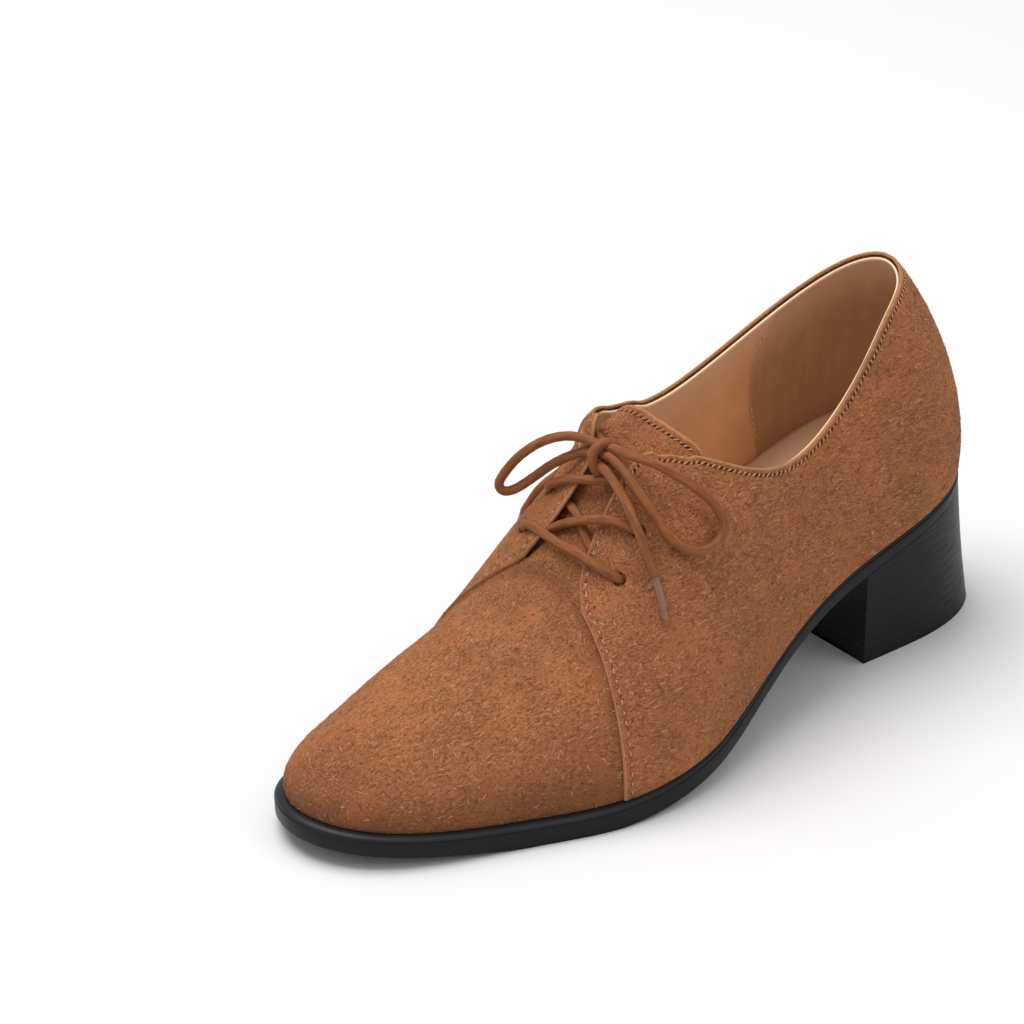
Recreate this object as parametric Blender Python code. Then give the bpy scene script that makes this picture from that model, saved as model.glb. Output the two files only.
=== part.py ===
"""Lace up heel: a left derby shoe on a block heel, women's EU 38.

The upper is one skin function. A closed feather line runs around the foot, and from every place on it
a rib rises to the crest line of the last. All leather pieces are read from that skin at an offset.
Sizes are in millimetres and become metres in solid(). +X is the toe, +Y the outer side, +Z up.
"""

import bpy
import bmesh
import numpy as np
from mathutils import Matrix, Vector

MM = 0.001
GAP = 0.3            # clearance between pieces that touch
WALL = 1.5           # lined vamp wall, and what the quarters have inside the skin
LAP = 0.9            # the quarters stand this much proud of the vamp
TONGUE_THICK = 1.5
TONGUE_HALF = 18.5   # half the tongue's width at its free end
TONGUE_SPREAD = 2.0  # how much wider each side is under the vamp
TONGUE_END = 5.1     # station of the free end
TONGUE_BOW = 0.2     # stations by which the free end rounds back at its corners
TONGUE_ROOT = 7.45   # station of the hidden end under the vamp
INSOLE_THICK = 2.0
INSOLE_INSET = 2.2   # from the feather line to the edge of the insole
MIDSOLE_THICK = 1.2
SOLE_DROP = 0.5      # the upper dips a little below the feather line, so the sole keeps this far down
LACE = 3.2           # diameter of the round cord
HOLE = 4.0           # diameter of the four lace holes
RISE = 0.41          # first handle of a rib, as a share of its height
REACH = 0.54         # last handle of a rib, as a share of its width

HEEL_FRONT = 50.8    # the breast of the heel, from the back of the feather line
HEEL_FLARE = 6.0     # how much further back the heel stands on the floor
HEEL_NARROW = 0.93   # width at the floor over width at the seat
HEEL_SIDES = 15      # stations along each side of the heel
HEEL_REACH = 4       # station in front of the breast
HEEL_ROWS = 4        # rings of points from seat to floor
SKIN_ROWS = 11       # points up a rib, up to the seam's top
CROWN_ROWS = 6       # points from there to the crest
TOE_SPLIT = 0.6      # height share at the toe where the closer rows of points begin
FINE = 401           # samples where a place is looked up along a curve

# One row per section, from the back of the heel to the toe tip. lat is the outer side, med the inner one.
# feather: height of the line where upper and sole meet. crest: the top line of the last.
# turn: direction of a rib where it reaches the crest, in degrees from +X. out: how far a rib leans out.
# top: height of the collar. margin: how far the sole stands out. edge: thickness of the sole's side.
COLUMNS = ("lat_x", "lat_y", "med_x", "med_y", "feather", "crest_x", "crest_y", "crest_z", "turn",
           "lat_out", "med_out", "lat_top", "med_top", "margin", "edge")
SECTIONS = {
    "heel back": (0, 0, 0, 0, 51, 38, 0, 132, 180, 7, 7, 117, 117, 1.0, 5.2),
    "heel turn": (6, 19, 6, -17.5, 50, 42, 0, 130, 150, 5.5, 7, 115, 113.5, 1.0, 5.2),
    "heel side": (26, 28.5, 26, -27.5, 45, 52, 0, 127, 120, 6, 6.5, 107.5, 103.5, 1.0, 5.4),
    "seat front": (56, 28.2, 56, -28.5, 36, 70, 0, 121, 100, 5, 7.5, 87, 93.5, 1.0, 5.8),
    "waist": (84, 32.5, 86, -25.5, 26.2, 90, 0, 115.5, 90, 6, 11, 81.3, 88, 0.9, 5.8),
    "waist front": (110, 40.7, 114, -26.5, 16.2, 108, 0, 102.5, 90, 4.7, 9, 90.4, 94, 1.4, 6.2),
    "joint": (134, 47.6, 146, -35, 10.8, 127, 0, 87, 90, 5, 6.3, 89, 92, 2.1, 6.9),
    "front seam": (161, 46.3, 172, -37.5, 8, 151, 1, 59.5, 90, 3.2, 4.3, 80, 80, 3.0, 7.7),
    "vamp": (186, 37, 198, -35.3, 7.6, 173, 0, 46.6, 90, 3, 3, 80, 80, 3.3, 7.9),
    "shoulder": (212, 26.7, 220, -29.2, 9.3, 196, -2, 37.4, 84, 2.5, 2.5, 80, 80, 3.0, 6.9),
    "toe turn": (232, 13.4, 234, -21, 11.6, 213, -4, 33.8, 58, 2, 2, 80, 80, 3.0, 6.7),
    "toe tip": (240, -5, 240, -5, 12.7, 220, -5, 32, 0, 2, 2, 80, 80, 3.1, 6.8),
}
TOE = len(SECTIONS) - 1      # station of the toe tip
ROUND = 2 * TOE              # stations in the whole loop, back to the heel
SEAM = 7                     # station of the quarters' front edge

# How far the front edges of the flaps stay from the middle: station, outer side, inner side.
FACING = ((5.55, 7.4, 13.0), (5.8, 7.6, 8.5), (6.1, 7.9, 6.0), (6.4, 8.7, 5.8), (6.62, 10.0, 7.5),
          (6.8, 11.8, 10.0), (6.92, 15.0, 13.5), (7.0, 18.5, 22.0))
FLAP_TIP = FACING[0][0]
COLLAR_ONLY = 4.9    # behind this station the quarters end at the collar alone
# The tip of the inner flap curls up: how high, where that starts and is full along the facing, where it
# starts and is full along the collar, and over which share of the rib it rises.
CURL = 6.5
CURL_FROM, CURL_TO = 6.1, 5.6
CURL_BACK, CURL_FULL = 4.4, 5.4
CURL_BAND = 0.3
# Holes for the lace: station and height share on the rib.
HOLES = {"low_lat": (6.54, 0.71), "low_med": (15.5, 0.69),
         "high_med": (15.84, 0.72), "high_lat": (6.17, 0.74)}

# Routes of the cord, millimetres, chosen by eye along the photographed bow.
BAR_LOW = ((144.8, -20.4, 66.4), (145.6, -17.4, 68), (146.4, -11, 70.4), (146.9, -3, 71.4),
           (146.8, 6, 70.9), (145.6, 14.5, 69.6), (144.2, 20.5, 67.6), (143.2, 24, 65.6))
BAR_MID = ((143.2, -4.8, 70.8), (142.2, -1, 73.2), (140.9, 5, 76.2), (138.4, 12, 78.8),
           (135.4, 17.5, 78.9), (133.2, 21.8, 77))
BAR_CROSS = ((137.2, -4.6, 77.2), (138.8, -1.5, 76.4), (141.6, 2.6, 72.9), (143, 6, 69.4))
BAR_HIGH = ((135.8, -18, 76), (136.4, -15.5, 78.6), (136.4, -9.5, 82.2), (134.8, -2.8, 85),
            (132.6, 3.5, 86.8), (131.2, 8.6, 87))
KNOT = (127.2, -1.2, 91.0)
LOOP_OUTER = ((126.4, 4.2, 94.4), (126.8, 8.4, 95.8), (126.2, 13, 95.8), (124.4, 18.5, 94),
              (121.4, 23, 91), (117.6, 27.4, 87.3), (113.9, 31.1, 82), (111.4, 34, 76.8),
              (112, 35.9, 72), (115.2, 36.6, 69.9), (120, 36.4, 70), (125.2, 34.2, 72.6),
              (128.8, 30.4, 76.8), (130.6, 25.9, 81.8), (131.4, 20.6, 86.4), (131.3, 15, 90),
              (130.8, 10, 92.2), (130.4, 6, 92.4))
LOOP_INNER = ((128.6, -6.6, 94), (131.4, -9.8, 95.6), (134.4, -14.2, 94.8), (137.6, -19.6, 91.4),
              (141, -25, 85.4), (144.4, -28.8, 78.4), (145.9, -29.6, 74.4), (144.8, -28, 72.2),
              (141.6, -25, 73.6), (138.2, -21.2, 78.2), (135, -16.8, 83.4), (132, -12.2, 87.6),
              (129.6, -7.4, 90.2))
END_OUTER = ((131.6, 1.8, 90.4), (134, 5, 91), (135.6, 10.4, 89.8), (136.2, 16.4, 86),
             (136.6, 22.2, 80.4), (136.8, 27, 74.2), (136.8, 31.4, 68.4), (136.9, 34.8, 63.6))
TIP_OUTER = ((137, 35.3, 62.8), (137.6, 38.2, 58.6), (138.2, 40.6, 54.6), (138.8, 42.4, 50.6))
END_INNER = ((124.8, -6.4, 92.8), (126.8, -10.2, 94.4), (129.6, -14.8, 91.2), (131.4, -19.2, 82.8),
             (134.6, -23, 76.2), (138, -26.2, 70.4), (140, -28.8, 64.4), (141.6, -30.8, 59.4))
TIP_INNER = ((141.8, -31.1, 58.5), (142.8, -32.6, 54.4), (143.6, -34, 50.4), (144.4, -35.2, 46.4))

SUEDE = (0.30, 0.13, 0.06)
CORD = (0.24, 0.11, 0.055)
LINING = (0.55, 0.33, 0.18)
BLACK = (0.012, 0.012, 0.014)
TIP = (0.32, 0.24, 0.22)


def column(name):
    """The values of one column, heel to toe."""
    place = COLUMNS.index(name)
    return np.array([row[place] for row in SECTIONS.values()], float)


def closed_curve(lateral, medial=None):
    """A smooth closed curve through one value per station, up the outer side and back down the inner."""
    medial = lateral if medial is None else medial
    values = np.concatenate([lateral, medial[-2:0:-1]])
    if values.ndim == 1:
        values = values[:, None]
    count = len(values)
    eye = np.eye(count)
    matrix = 4 * eye + np.roll(eye, 1, 0) + np.roll(eye, -1, 0)
    bend = np.linalg.solve(matrix, 6 * (np.roll(values, 1, 0) - 2 * values + np.roll(values, -1, 0)))

    def at(station):
        station = np.mod(np.asarray(station, float), count)
        low = np.floor(station).astype(int) % count
        high = (low + 1) % count
        t = (station - np.floor(station))[..., None]
        a = 1 - t
        return (values[low] * a + values[high] * t
                + ((a ** 3 - a) * bend[low] + (t ** 3 - t) * bend[high]) / 6)

    return at


FEATHER = closed_curve(np.stack([column("lat_x"), column("lat_y"), column("feather")], 1),
                       np.stack([column("med_x"), column("med_y"), column("feather")], 1))
CREST = closed_curve(np.stack([column("crest_x"), column("crest_y"), column("crest_z")], 1))
ANGLE = np.radians(column("turn"))
TURN = closed_curve(np.stack([np.cos(ANGLE), np.sin(ANGLE)], 1),
                    np.stack([np.cos(ANGLE), -np.sin(ANGLE)], 1))
OUT = closed_curve(column("lat_out"), column("med_out"))
TOP = closed_curve(column("lat_top"), column("med_top"))
MARGIN = closed_curve(column("margin"))
EDGE = closed_curve(column("edge"))


def unit(vectors):
    return vectors / np.linalg.norm(vectors, axis=-1, keepdims=True)


def smooth(low, high, value):
    """0 at low, 1 at high, with soft ends. low may be the larger one."""
    t = np.clip((np.asarray(value, float) - low) / (high - low), 0, 1)
    return t * t * (3 - 2 * t)


def outward(station):
    """Level direction away from the foot, square to the feather line."""
    step = 0.001
    along = FEATHER(station + step) - FEATHER(station - step)
    return unit(np.stack([-along[..., 1], along[..., 0]], -1))


def last_skin(station, height):
    """The last itself: height runs from 0 on the feather line to 1 on the crest."""
    station, height = np.broadcast_arrays(np.asarray(station, float), np.asarray(height, float))
    foot = FEATHER(station)
    crest = CREST(station)
    lean = foot.copy()
    lean[..., :2] += outward(station) * OUT(station)
    lean[..., 2] += RISE * (crest - foot)[..., 2]
    width = np.linalg.norm((crest - foot)[..., :2], axis=-1, keepdims=True)
    shoulder = crest.copy()
    shoulder[..., :2] += unit(TURN(station)) * width * REACH
    t = height[..., None]
    a = 1 - t
    return a ** 3 * foot + 3 * a * a * t * lean + 3 * a * t * t * shoulder + t ** 3 * crest


def one_sided_normal(station, height):
    step = 0.0001
    height = np.minimum(height, 0.99)
    along = last_skin(station + step, height) - last_skin(station - step, height)
    up = last_skin(station, height + step) - last_skin(station, height - step)
    return unit(np.cross(up, along))


def normal(station, height):
    """Outward normal. Both sides share it on the crest."""
    station, height = np.broadcast_arrays(np.asarray(station, float), np.asarray(height, float))
    here = one_sided_normal(station, height)
    there = one_sided_normal(ROUND - station, height)
    share = 0.5 * np.clip((height - 0.9) / 0.1, 0, 1)[..., None]
    return unit(here * (1 - share) + there * share)


def skin(station, height, offset=0.0):
    offset = np.asarray(offset, float)[..., None] if np.ndim(offset) else offset
    return last_skin(station, height) + normal(station, height) * offset


def rib_top(station):
    """Where the quarters end on a rib: at the collar, or at the flap's front edge."""
    height = np.linspace(0, 1, FINE)
    near_toe = station if station <= TOE else ROUND - station
    side = 1 if station <= TOE else -1
    points = last_skin(station, height)
    facing = np.array(FACING)
    if near_toe <= FLAP_TIP:
        collar = TOP(station)[0]
        by_collar = np.interp(collar, points[:, 2], height)
    else:
        by_collar = 1.0
    if near_toe < COLLAR_ONLY:
        return by_collar
    keep = np.interp(near_toe, facing[:, 0], facing[:, 1 if side > 0 else 2])
    across = points[:, 1] * side
    last = FINE - 1 - np.argmax(across[::-1] >= keep)
    after = min(last + 1, FINE - 1)
    part = (across[last] - keep) / max(across[last] - across[after], 1e-9)
    by_facing = height[last] + (height[after] - height[last]) * min(part, 1)
    return min(by_collar, by_facing)


def curl(station, height, top):
    """Lift of the inner flap's tip off the foot."""
    if station <= TOE:
        return np.zeros(np.shape(height))
    near_toe = ROUND - station
    along = smooth(CURL_FROM, CURL_TO, near_toe) * smooth(CURL_BACK, CURL_FULL, near_toe)
    return CURL * along * smooth(top - CURL_BAND, top, height)


def solid(name, faces, colour, rough=0.85):
    """One closed object from faces given as lists of points in millimetres."""
    mesh = bpy.data.meshes.new(name)
    shape = bmesh.new()
    for face in faces:
        corners = [shape.verts.new(Vector(point) * MM) for point in face]
        shape.faces.new(corners)
    bmesh.ops.remove_doubles(shape, verts=shape.verts[:], dist=0.002 * MM)
    bmesh.ops.dissolve_degenerate(shape, dist=0.001 * MM, edges=shape.edges[:])
    bmesh.ops.triangulate(shape, faces=[face for face in shape.faces if len(face.verts) > 3])
    bmesh.ops.recalc_face_normals(shape, faces=shape.faces[:])
    shape.to_mesh(mesh)
    shape.free()
    mesh.shade_smooth()
    mesh.set_sharp_from_angle(angle=np.radians(35))
    obj = bpy.data.objects.new(name, mesh)
    bpy.context.scene.collection.objects.link(obj)
    paint(obj, colour, rough)
    return obj


def paint(obj, colour, rough=0.85):
    material = bpy.data.materials.new(obj.name)
    material.use_nodes = True
    shader = material.node_tree.nodes["Principled BSDF"]
    shader.inputs["Base Color"].default_value = (*colour, 1)
    shader.inputs["Roughness"].default_value = rough
    shader.inputs["Metallic"].default_value = 0
    obj.data.materials.append(material)


def quads(grid):
    """The four-sided faces of a grid of points."""
    rows, columns = grid.shape[:2]
    return [(grid[i, j], grid[i + 1, j], grid[i + 1, j + 1], grid[i, j + 1])
            for i in range(rows - 1) for j in range(columns - 1)]


def strips(*lines):
    """Faces between neighbouring lines of equal length."""
    return quads(np.stack(lines))


def stations(first, last, per_station):
    return np.linspace(first, last, round(abs(last - first) * per_station) + 1)


def quarter(side):
    """Faces of one quarter, and the height share at which its front seam ends."""
    steps = np.concatenate([stations(0, 5, 4), [5.3, FLAP_TIP], np.linspace(5.72, 6.8, 7), [6.92, SEAM]])
    if side < 0:
        steps = ROUND - steps
    share = np.linspace(0, 1, SKIN_ROWS)
    tops = np.array([rib_top(s) for s in steps])
    layers = []
    for offset in (LAP, 0.0, -WALL):
        rows = []
        for s, top in zip(steps, tops):
            height = share * top
            rows.append(skin(s, height, offset + curl(s, height, top)))
        layers.append(np.array(rows))
    outer, middle, inner = layers
    faces = quads(outer) + quads(inner)
    faces += strips(outer[:, 0], middle[:, 0], inner[:, 0])
    faces += strips(outer[:, -1], middle[:, -1], inner[:, -1])
    faces += strips(outer[-1], middle[-1])
    return faces, tops[-1]


def vamp(split_lateral, split_medial):
    """Faces of the vamp, which runs from one front seam around the toe to the other."""
    steps = stations(SEAM, ROUND - SEAM, 4)
    splits = np.interp(steps, [SEAM, TOE, ROUND - SEAM], [split_lateral, TOE_SPLIT, split_medial])
    low = np.linspace(0, 1, SKIN_ROWS)
    high = np.linspace(0, 1, CROWN_ROWS)[1:]
    faces = []
    layers = []
    for offset in (0.0, -WALL):
        rows = []
        for s, split in zip(steps, splits):
            height = np.concatenate([low * split, split + high * (1 - split)])
            rows.append(skin(s, height, offset))
        layers.append(np.array(rows))
        faces += quads(layers[-1])
    outer, inner = layers
    faces += strips(outer[:, 0], inner[:, 0])
    for row in (0, -1):
        faces += strips(outer[row, len(low) - 1:], inner[row, len(low) - 1:])
    return faces


def drill(obj):
    """Cut the four lace holes through the flaps."""
    for name, (station, height) in HOLES.items():
        at = Vector(skin(station, height)) * MM
        axis = Vector(normal(station, height))
        turn = axis.to_track_quat("Z", "Y").to_matrix().to_4x4()
        mesh = bpy.data.meshes.new("cutter_" + name)
        shape = bmesh.new()
        bmesh.ops.create_cone(shape, cap_ends=True, segments=10, radius1=HOLE / 2 * MM,
                              radius2=HOLE / 2 * MM, depth=9 * MM)
        shape.to_mesh(mesh)
        shape.free()
        cutter = bpy.data.objects.new("cutter_" + name, mesh)
        bpy.context.scene.collection.objects.link(cutter)
        cutter.matrix_world = Matrix.Translation(at) @ turn
        cutter.hide_render = True
        cutter.display_type = "WIRE"
        cut = obj.modifiers.new("hole_" + name, "BOOLEAN")
        cut.object = cutter
        cut.operation = "DIFFERENCE"


def make_upper():
    outer_faces, split_lateral = quarter(1)
    inner_faces, split_medial = quarter(-1)
    upper = solid("upper", outer_faces + inner_faces + vamp(split_lateral, split_medial), SUEDE)
    drill(upper)


def make_tongue():
    """A strip under the flaps, from below the vamp's throat to its free end above the bow."""
    across = np.linspace(-5, 5, 11) / 5
    rows = np.linspace(0, 1, 12)
    outer = []
    inner = []
    for row in rows:
        outer_row = []
        inner_row = []
        for v in across:
            free_end = TONGUE_END - TONGUE_BOW * v * v
            near_toe = free_end + (TONGUE_ROOT - free_end) * row
            half_width = TONGUE_HALF + TONGUE_SPREAD * row
            station = near_toe if v >= 0 else ROUND - near_toe
            height = np.linspace(0.3, 1, FINE)
            points = last_skin(station, height)
            spread = np.abs(points[:, 1])
            target = abs(v) * half_width
            at = 1.0 if v == 0 else float(np.interp(target, spread[::-1], height[::-1]))
            outer_row.append(skin(station, at, -WALL - GAP))
            inner_row.append(skin(station, at, -WALL - GAP - TONGUE_THICK))
        outer.append(outer_row)
        inner.append(inner_row)
    outer = np.array(outer)
    inner = np.array(inner)
    faces = quads(outer) + quads(inner)
    for index in (0, -1):
        faces += strips(outer[index], inner[index])
        faces += strips(outer[:, index], inner[:, index])
    solid("tongue", faces, SUEDE)


def plate(name, grow, top_drop, bottom_drop, colour, rough, floor=0.0):
    """A layer of the bottom, ruled straight across from the outer side to the inner.

    grow: how far its outline stands outside the feather line at a station.
    top_drop and bottom_drop: how far its faces lie below the feather line. None of it goes below floor.
    """
    def loop(along, drop):
        points = FEATHER(along)
        points[:, :2] += outward(along) * grow(along)
        points[:, 2] = np.maximum(points[:, 2] - drop(along)[:, 0], floor)
        return points

    steps = stations(0, TOE, 5)
    faces = []
    edges = []
    for drop in (top_drop, bottom_drop):
        outer_side = loop(steps, drop)
        inner_side = loop(ROUND - steps, drop)
        edges.append((outer_side, inner_side))
        for i in range(len(steps) - 1):
            ring = [outer_side[i], outer_side[i + 1], inner_side[i + 1], inner_side[i]]
            if i == 0:
                ring = ring[:3]
            elif i == len(steps) - 2:
                ring = [ring[0], ring[1], ring[3]]
            faces.append(ring)
    for side in (0, 1):
        faces += strips(edges[0][side], edges[1][side])
    return solid(name, faces, colour, rough)


def level(drop):
    """The same drop below the feather line at every station."""
    return lambda along: np.full((len(along), 1), drop)


def make_bottom():
    board = SOLE_DROP - GAP
    joint = SOLE_DROP + MIDSOLE_THICK
    plate("insole", level(-INSOLE_INSET), level(board - INSOLE_THICK), level(board), LINING, 0.6)
    plate("midsole", MARGIN, level(SOLE_DROP), level(joint), BLACK, 0.45)
    plate("outsole", MARGIN, level(joint + GAP), EDGE, BLACK, 0.5)


def sole_outline(station):
    """The outer edge of the sole's top, at the height of the feather line."""
    points = FEATHER(station)
    points[:, :2] += outward(station) * MARGIN(station)
    return points


def make_heel():
    """A block from the outsole's seat down to the floor, flat in front, a little flared behind."""
    reach = np.linspace(0, HEEL_REACH, FINE)
    front_lateral = np.interp(HEEL_FRONT, sole_outline(reach)[:, 0], reach)
    front_medial = np.interp(HEEL_FRONT, sole_outline(ROUND - reach)[:, 0], reach)
    around = np.concatenate([np.linspace(front_lateral, 0, HEEL_SIDES),
                             -np.linspace(0, front_medial, HEEL_SIDES)[1:]])
    top = sole_outline(around)
    top[:, 2] -= EDGE(around)[:, 0] + GAP
    length = HEEL_FRONT - top[:, 0].min()
    base = top.copy()
    base[:, 2] = 0
    base[:, 1] *= HEEL_NARROW
    base[:, 0] = HEEL_FRONT - (HEEL_FRONT - top[:, 0]) * (length + HEEL_FLARE) / length
    rings = [top + (base - top) * share for share in np.linspace(0, 1, HEEL_ROWS)]
    faces = strips(*rings)
    faces += [(a[0], b[0], b[-1], a[-1]) for a, b in zip(rings, rings[1:])]
    last = len(around) - 1
    for ring in (top, base):
        for i in range(HEEL_SIDES - 1):
            across = [ring[i], ring[i + 1], ring[last - i - 1], ring[last - i]]
            faces.append(across[:2] + across[3:] if i == HEEL_SIDES - 2 else across)
    solid("heel", faces, BLACK, 0.45)


def smooth_route(route, spacing):
    """Points at even spacing on a smooth curve through the route's own points."""
    knots = np.array(route, float)
    ends = np.concatenate([[2 * knots[0] - knots[1]], knots, [2 * knots[-1] - knots[-2]]])
    fine = []
    for i in range(1, len(ends) - 2):
        before, a, b, after = ends[i - 1:i + 3]
        t = np.linspace(0, 1, 24, endpoint=False)[:, None]
        fine.append(0.5 * (2 * a + (b - before) * t + (2 * before - 5 * a + 4 * b - after) * t ** 2
                           + (3 * a - before - 3 * b + after) * t ** 3))
    fine = np.concatenate(fine + [knots[-1:]])
    length = np.concatenate([[0], np.cumsum(np.linalg.norm(np.diff(fine, axis=0), axis=1))])
    count = max(round(length[-1] / spacing), 2)
    at = np.linspace(0, length[-1], count + 1)
    return np.stack([np.interp(at, length, fine[:, k]) for k in range(3)], 1)


def cord(name, route, colour=CORD, diameter=LACE, spacing=2.2 * LACE):
    curve = bpy.data.curves.new(name, "CURVE")
    curve.dimensions = "3D"
    curve.bevel_depth = diameter / 2 * MM
    curve.bevel_resolution = 2
    curve.use_fill_caps = True
    points = smooth_route(route, spacing)
    line = curve.splines.new("POLY")
    line.points.add(len(points) - 1)
    for place, point in zip(line.points, points):
        place.co = (*(point * MM), 1)
    obj = bpy.data.objects.new(name, curve)
    bpy.context.scene.collection.objects.link(obj)
    paint(obj, colour, 0.6)
    return obj


def tube(route, diameter=LACE, spacing=1.6 * LACE, sides=8):
    """Faces of a closed tube along a route, ring by ring."""
    points = smooth_route(route, spacing)
    along = unit(np.gradient(points, axis=0))
    side = unit(np.cross(along, (0.1, 0.2, 1.0)))
    up = np.cross(side, along)
    turn = np.linspace(0, 2 * np.pi, sides + 1)
    rings = (points[:, None] + diameter / 2 * (np.cos(turn)[None, :, None] * side[:, None]
                                                + np.sin(turn)[None, :, None] * up[:, None]))
    rings[:, -1] = rings[:, 0]
    return quads(rings) + [tuple(rings[0, :-1]), tuple(rings[-1, :-1])]


def make_lace():
    solid("lace_bar_low", tube(BAR_LOW), CORD, 0.6)
    solid("lace_bar_high", tube(BAR_HIGH), CORD, 0.6)
    crossing = solid("lace_bars_crossed", tube(BAR_MID), CORD, 0.6)
    under = solid("cutter_bar_under", tube(BAR_CROSS), CORD, 0.6)
    under.hide_render = True
    under.display_type = "WIRE"
    join = crossing.modifiers.new("join", "BOOLEAN")
    join.object = under
    join.operation = "UNION"
    cord("lace_loop_outer", LOOP_OUTER)
    cord("lace_loop_inner", LOOP_INNER)
    cord("lace_end_outer", END_OUTER)
    cord("lace_end_inner", END_INNER)
    cord("lace_tip_outer", TIP_OUTER, TIP, 2.6)
    cord("lace_tip_inner", TIP_INNER, TIP, 2.6)


def make_knot():
    """The closed lump of the bow's knot."""
    mesh = bpy.data.meshes.new("lace_knot")
    shape = bmesh.new()
    bmesh.ops.create_uvsphere(shape, u_segments=14, v_segments=9, radius=1)
    for vert in shape.verts:
        vert.co = Vector((vert.co.x * 3.4, vert.co.y * 4.2, vert.co.z * 3.6)) * MM
    shape.to_mesh(mesh)
    shape.free()
    mesh.shade_smooth()
    knot = bpy.data.objects.new("lace_knot", mesh)
    knot.location = Vector(KNOT) * MM
    bpy.context.scene.collection.objects.link(knot)
    paint(knot, CORD, 0.6)


def main():
    for obj in list(bpy.data.objects):
        bpy.data.objects.remove(obj)
    make_upper()
    make_tongue()
    make_bottom()
    make_heel()
    make_lace()
    make_knot()


main()
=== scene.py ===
"""Looks of the lace up heel: a left derby shoe in brown suede on a black block heel.

Every surface is read from one skin function of the last, the same one that shapes the frame. Sizes are in
millimetres until a mesh is made, which is in metres. +X is the toe, +Y the outer side, +Z up.
"""

import math
from functools import cache, reduce

import bmesh
import bpy
import numpy as np
from bpy.props import FloatProperty, FloatVectorProperty, IntProperty, PointerProperty
from bpy.types import Operator, Panel, PropertyGroup
from mathutils import Matrix, Vector


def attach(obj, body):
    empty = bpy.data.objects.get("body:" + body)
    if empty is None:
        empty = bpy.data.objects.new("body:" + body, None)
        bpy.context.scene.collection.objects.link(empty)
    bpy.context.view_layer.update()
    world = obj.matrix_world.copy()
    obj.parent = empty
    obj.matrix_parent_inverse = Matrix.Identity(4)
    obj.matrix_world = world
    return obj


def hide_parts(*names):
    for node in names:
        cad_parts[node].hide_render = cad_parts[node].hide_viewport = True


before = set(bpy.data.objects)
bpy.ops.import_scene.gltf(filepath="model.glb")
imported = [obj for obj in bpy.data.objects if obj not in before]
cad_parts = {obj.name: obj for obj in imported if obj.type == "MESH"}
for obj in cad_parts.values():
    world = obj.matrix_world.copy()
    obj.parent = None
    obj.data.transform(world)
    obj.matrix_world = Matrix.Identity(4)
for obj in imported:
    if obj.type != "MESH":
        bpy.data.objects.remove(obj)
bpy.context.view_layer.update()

bl_info = {
    "name": "Lace up heel",
    "version": (1, 0, 0),
    "blender": (4, 5, 0),
    "location": "3D View > Sidebar > Shoe",
    "description": "Builds a suede derby shoe with a block heel around its frame",
    "category": "Add Mesh",
}

MM = 0.001
WALL = 1.5           # inside of the skin to the inside of the lining
LAP = 0.9            # how far the quarters stand out over the vamp
RISE = 0.41          # first handle of a rib, as a share of its height
REACH = 0.54         # last handle of a rib, as a share of its width
SOLE_DROP = 0.5      # top of the midsole below the feather line
MIDSOLE = 1.2        # thickness of the midsole
SOLE_GAP = 0.05      # between the midsole and the outsole
HOLE = 4.0           # diameter of a lace hole
LACE = 2.85          # diameter of the cord
SEAM = 7             # station of the quarters' front edge

# One row per section, from the back of the heel to the toe tip. lat is the outer side, med the inner one.
# feather: height of the line where upper and sole meet. crest: the top line of the last.
# turn: direction of a rib where it reaches the crest. out: how far it leans out. top: height of the collar.
# margin: how far the sole stands out. edge: thickness of the sole's side.
COLUMNS = ("lat_x", "lat_y", "med_x", "med_y", "feather", "crest_x", "crest_y", "crest_z", "turn",
           "lat_out", "med_out", "lat_top", "med_top", "margin", "edge")
SECTIONS = {
    "heel back": (0, 0, 0, 0, 51, 38, 0, 132, 180, 7, 7, 117, 117, 1.0, 5.2),
    "heel turn": (6, 19, 6, -17.5, 50, 42, 0, 130, 150, 5.5, 7, 115, 113.5, 1.0, 5.2),
    "heel side": (26, 28.5, 26, -27.5, 45, 52, 0, 127, 120, 6, 6.5, 107.5, 103.5, 1.0, 5.4),
    "seat front": (56, 28.2, 56, -28.5, 36, 70, 0, 121, 100, 5, 7.5, 87, 93.5, 1.0, 5.8),
    "waist": (84, 32.5, 86, -25.5, 26.2, 90, 0, 115.5, 90, 6, 11, 81.3, 88, 0.9, 5.8),
    "waist front": (110, 40.7, 114, -26.5, 16.2, 108, 0, 102.5, 90, 4.7, 9, 90.4, 94, 1.4, 6.2),
    "joint": (134, 47.6, 146, -35, 10.8, 127, 0, 87, 90, 5, 6.3, 89, 92, 2.1, 6.9),
    "front seam": (161, 46.3, 172, -37.5, 8, 151, 1, 59.5, 90, 3.2, 4.3, 80, 80, 3.0, 7.7),
    "vamp": (186, 37, 198, -35.3, 7.6, 173, 0, 46.6, 90, 3, 3, 80, 80, 3.3, 7.9),
    "shoulder": (212, 26.7, 220, -29.2, 9.3, 196, -2, 37.4, 84, 2.5, 2.5, 80, 80, 3.0, 6.9),
    "toe turn": (232, 13.4, 234, -21, 11.6, 213, -4, 33.8, 58, 2, 2, 80, 80, 3.0, 6.7),
    "toe tip": (240, -5, 240, -5, 12.7, 220, -5, 32, 0, 2, 2, 80, 80, 3.1, 6.8),
}
TOE = len(SECTIONS) - 1
ROUND = 2 * TOE

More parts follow.
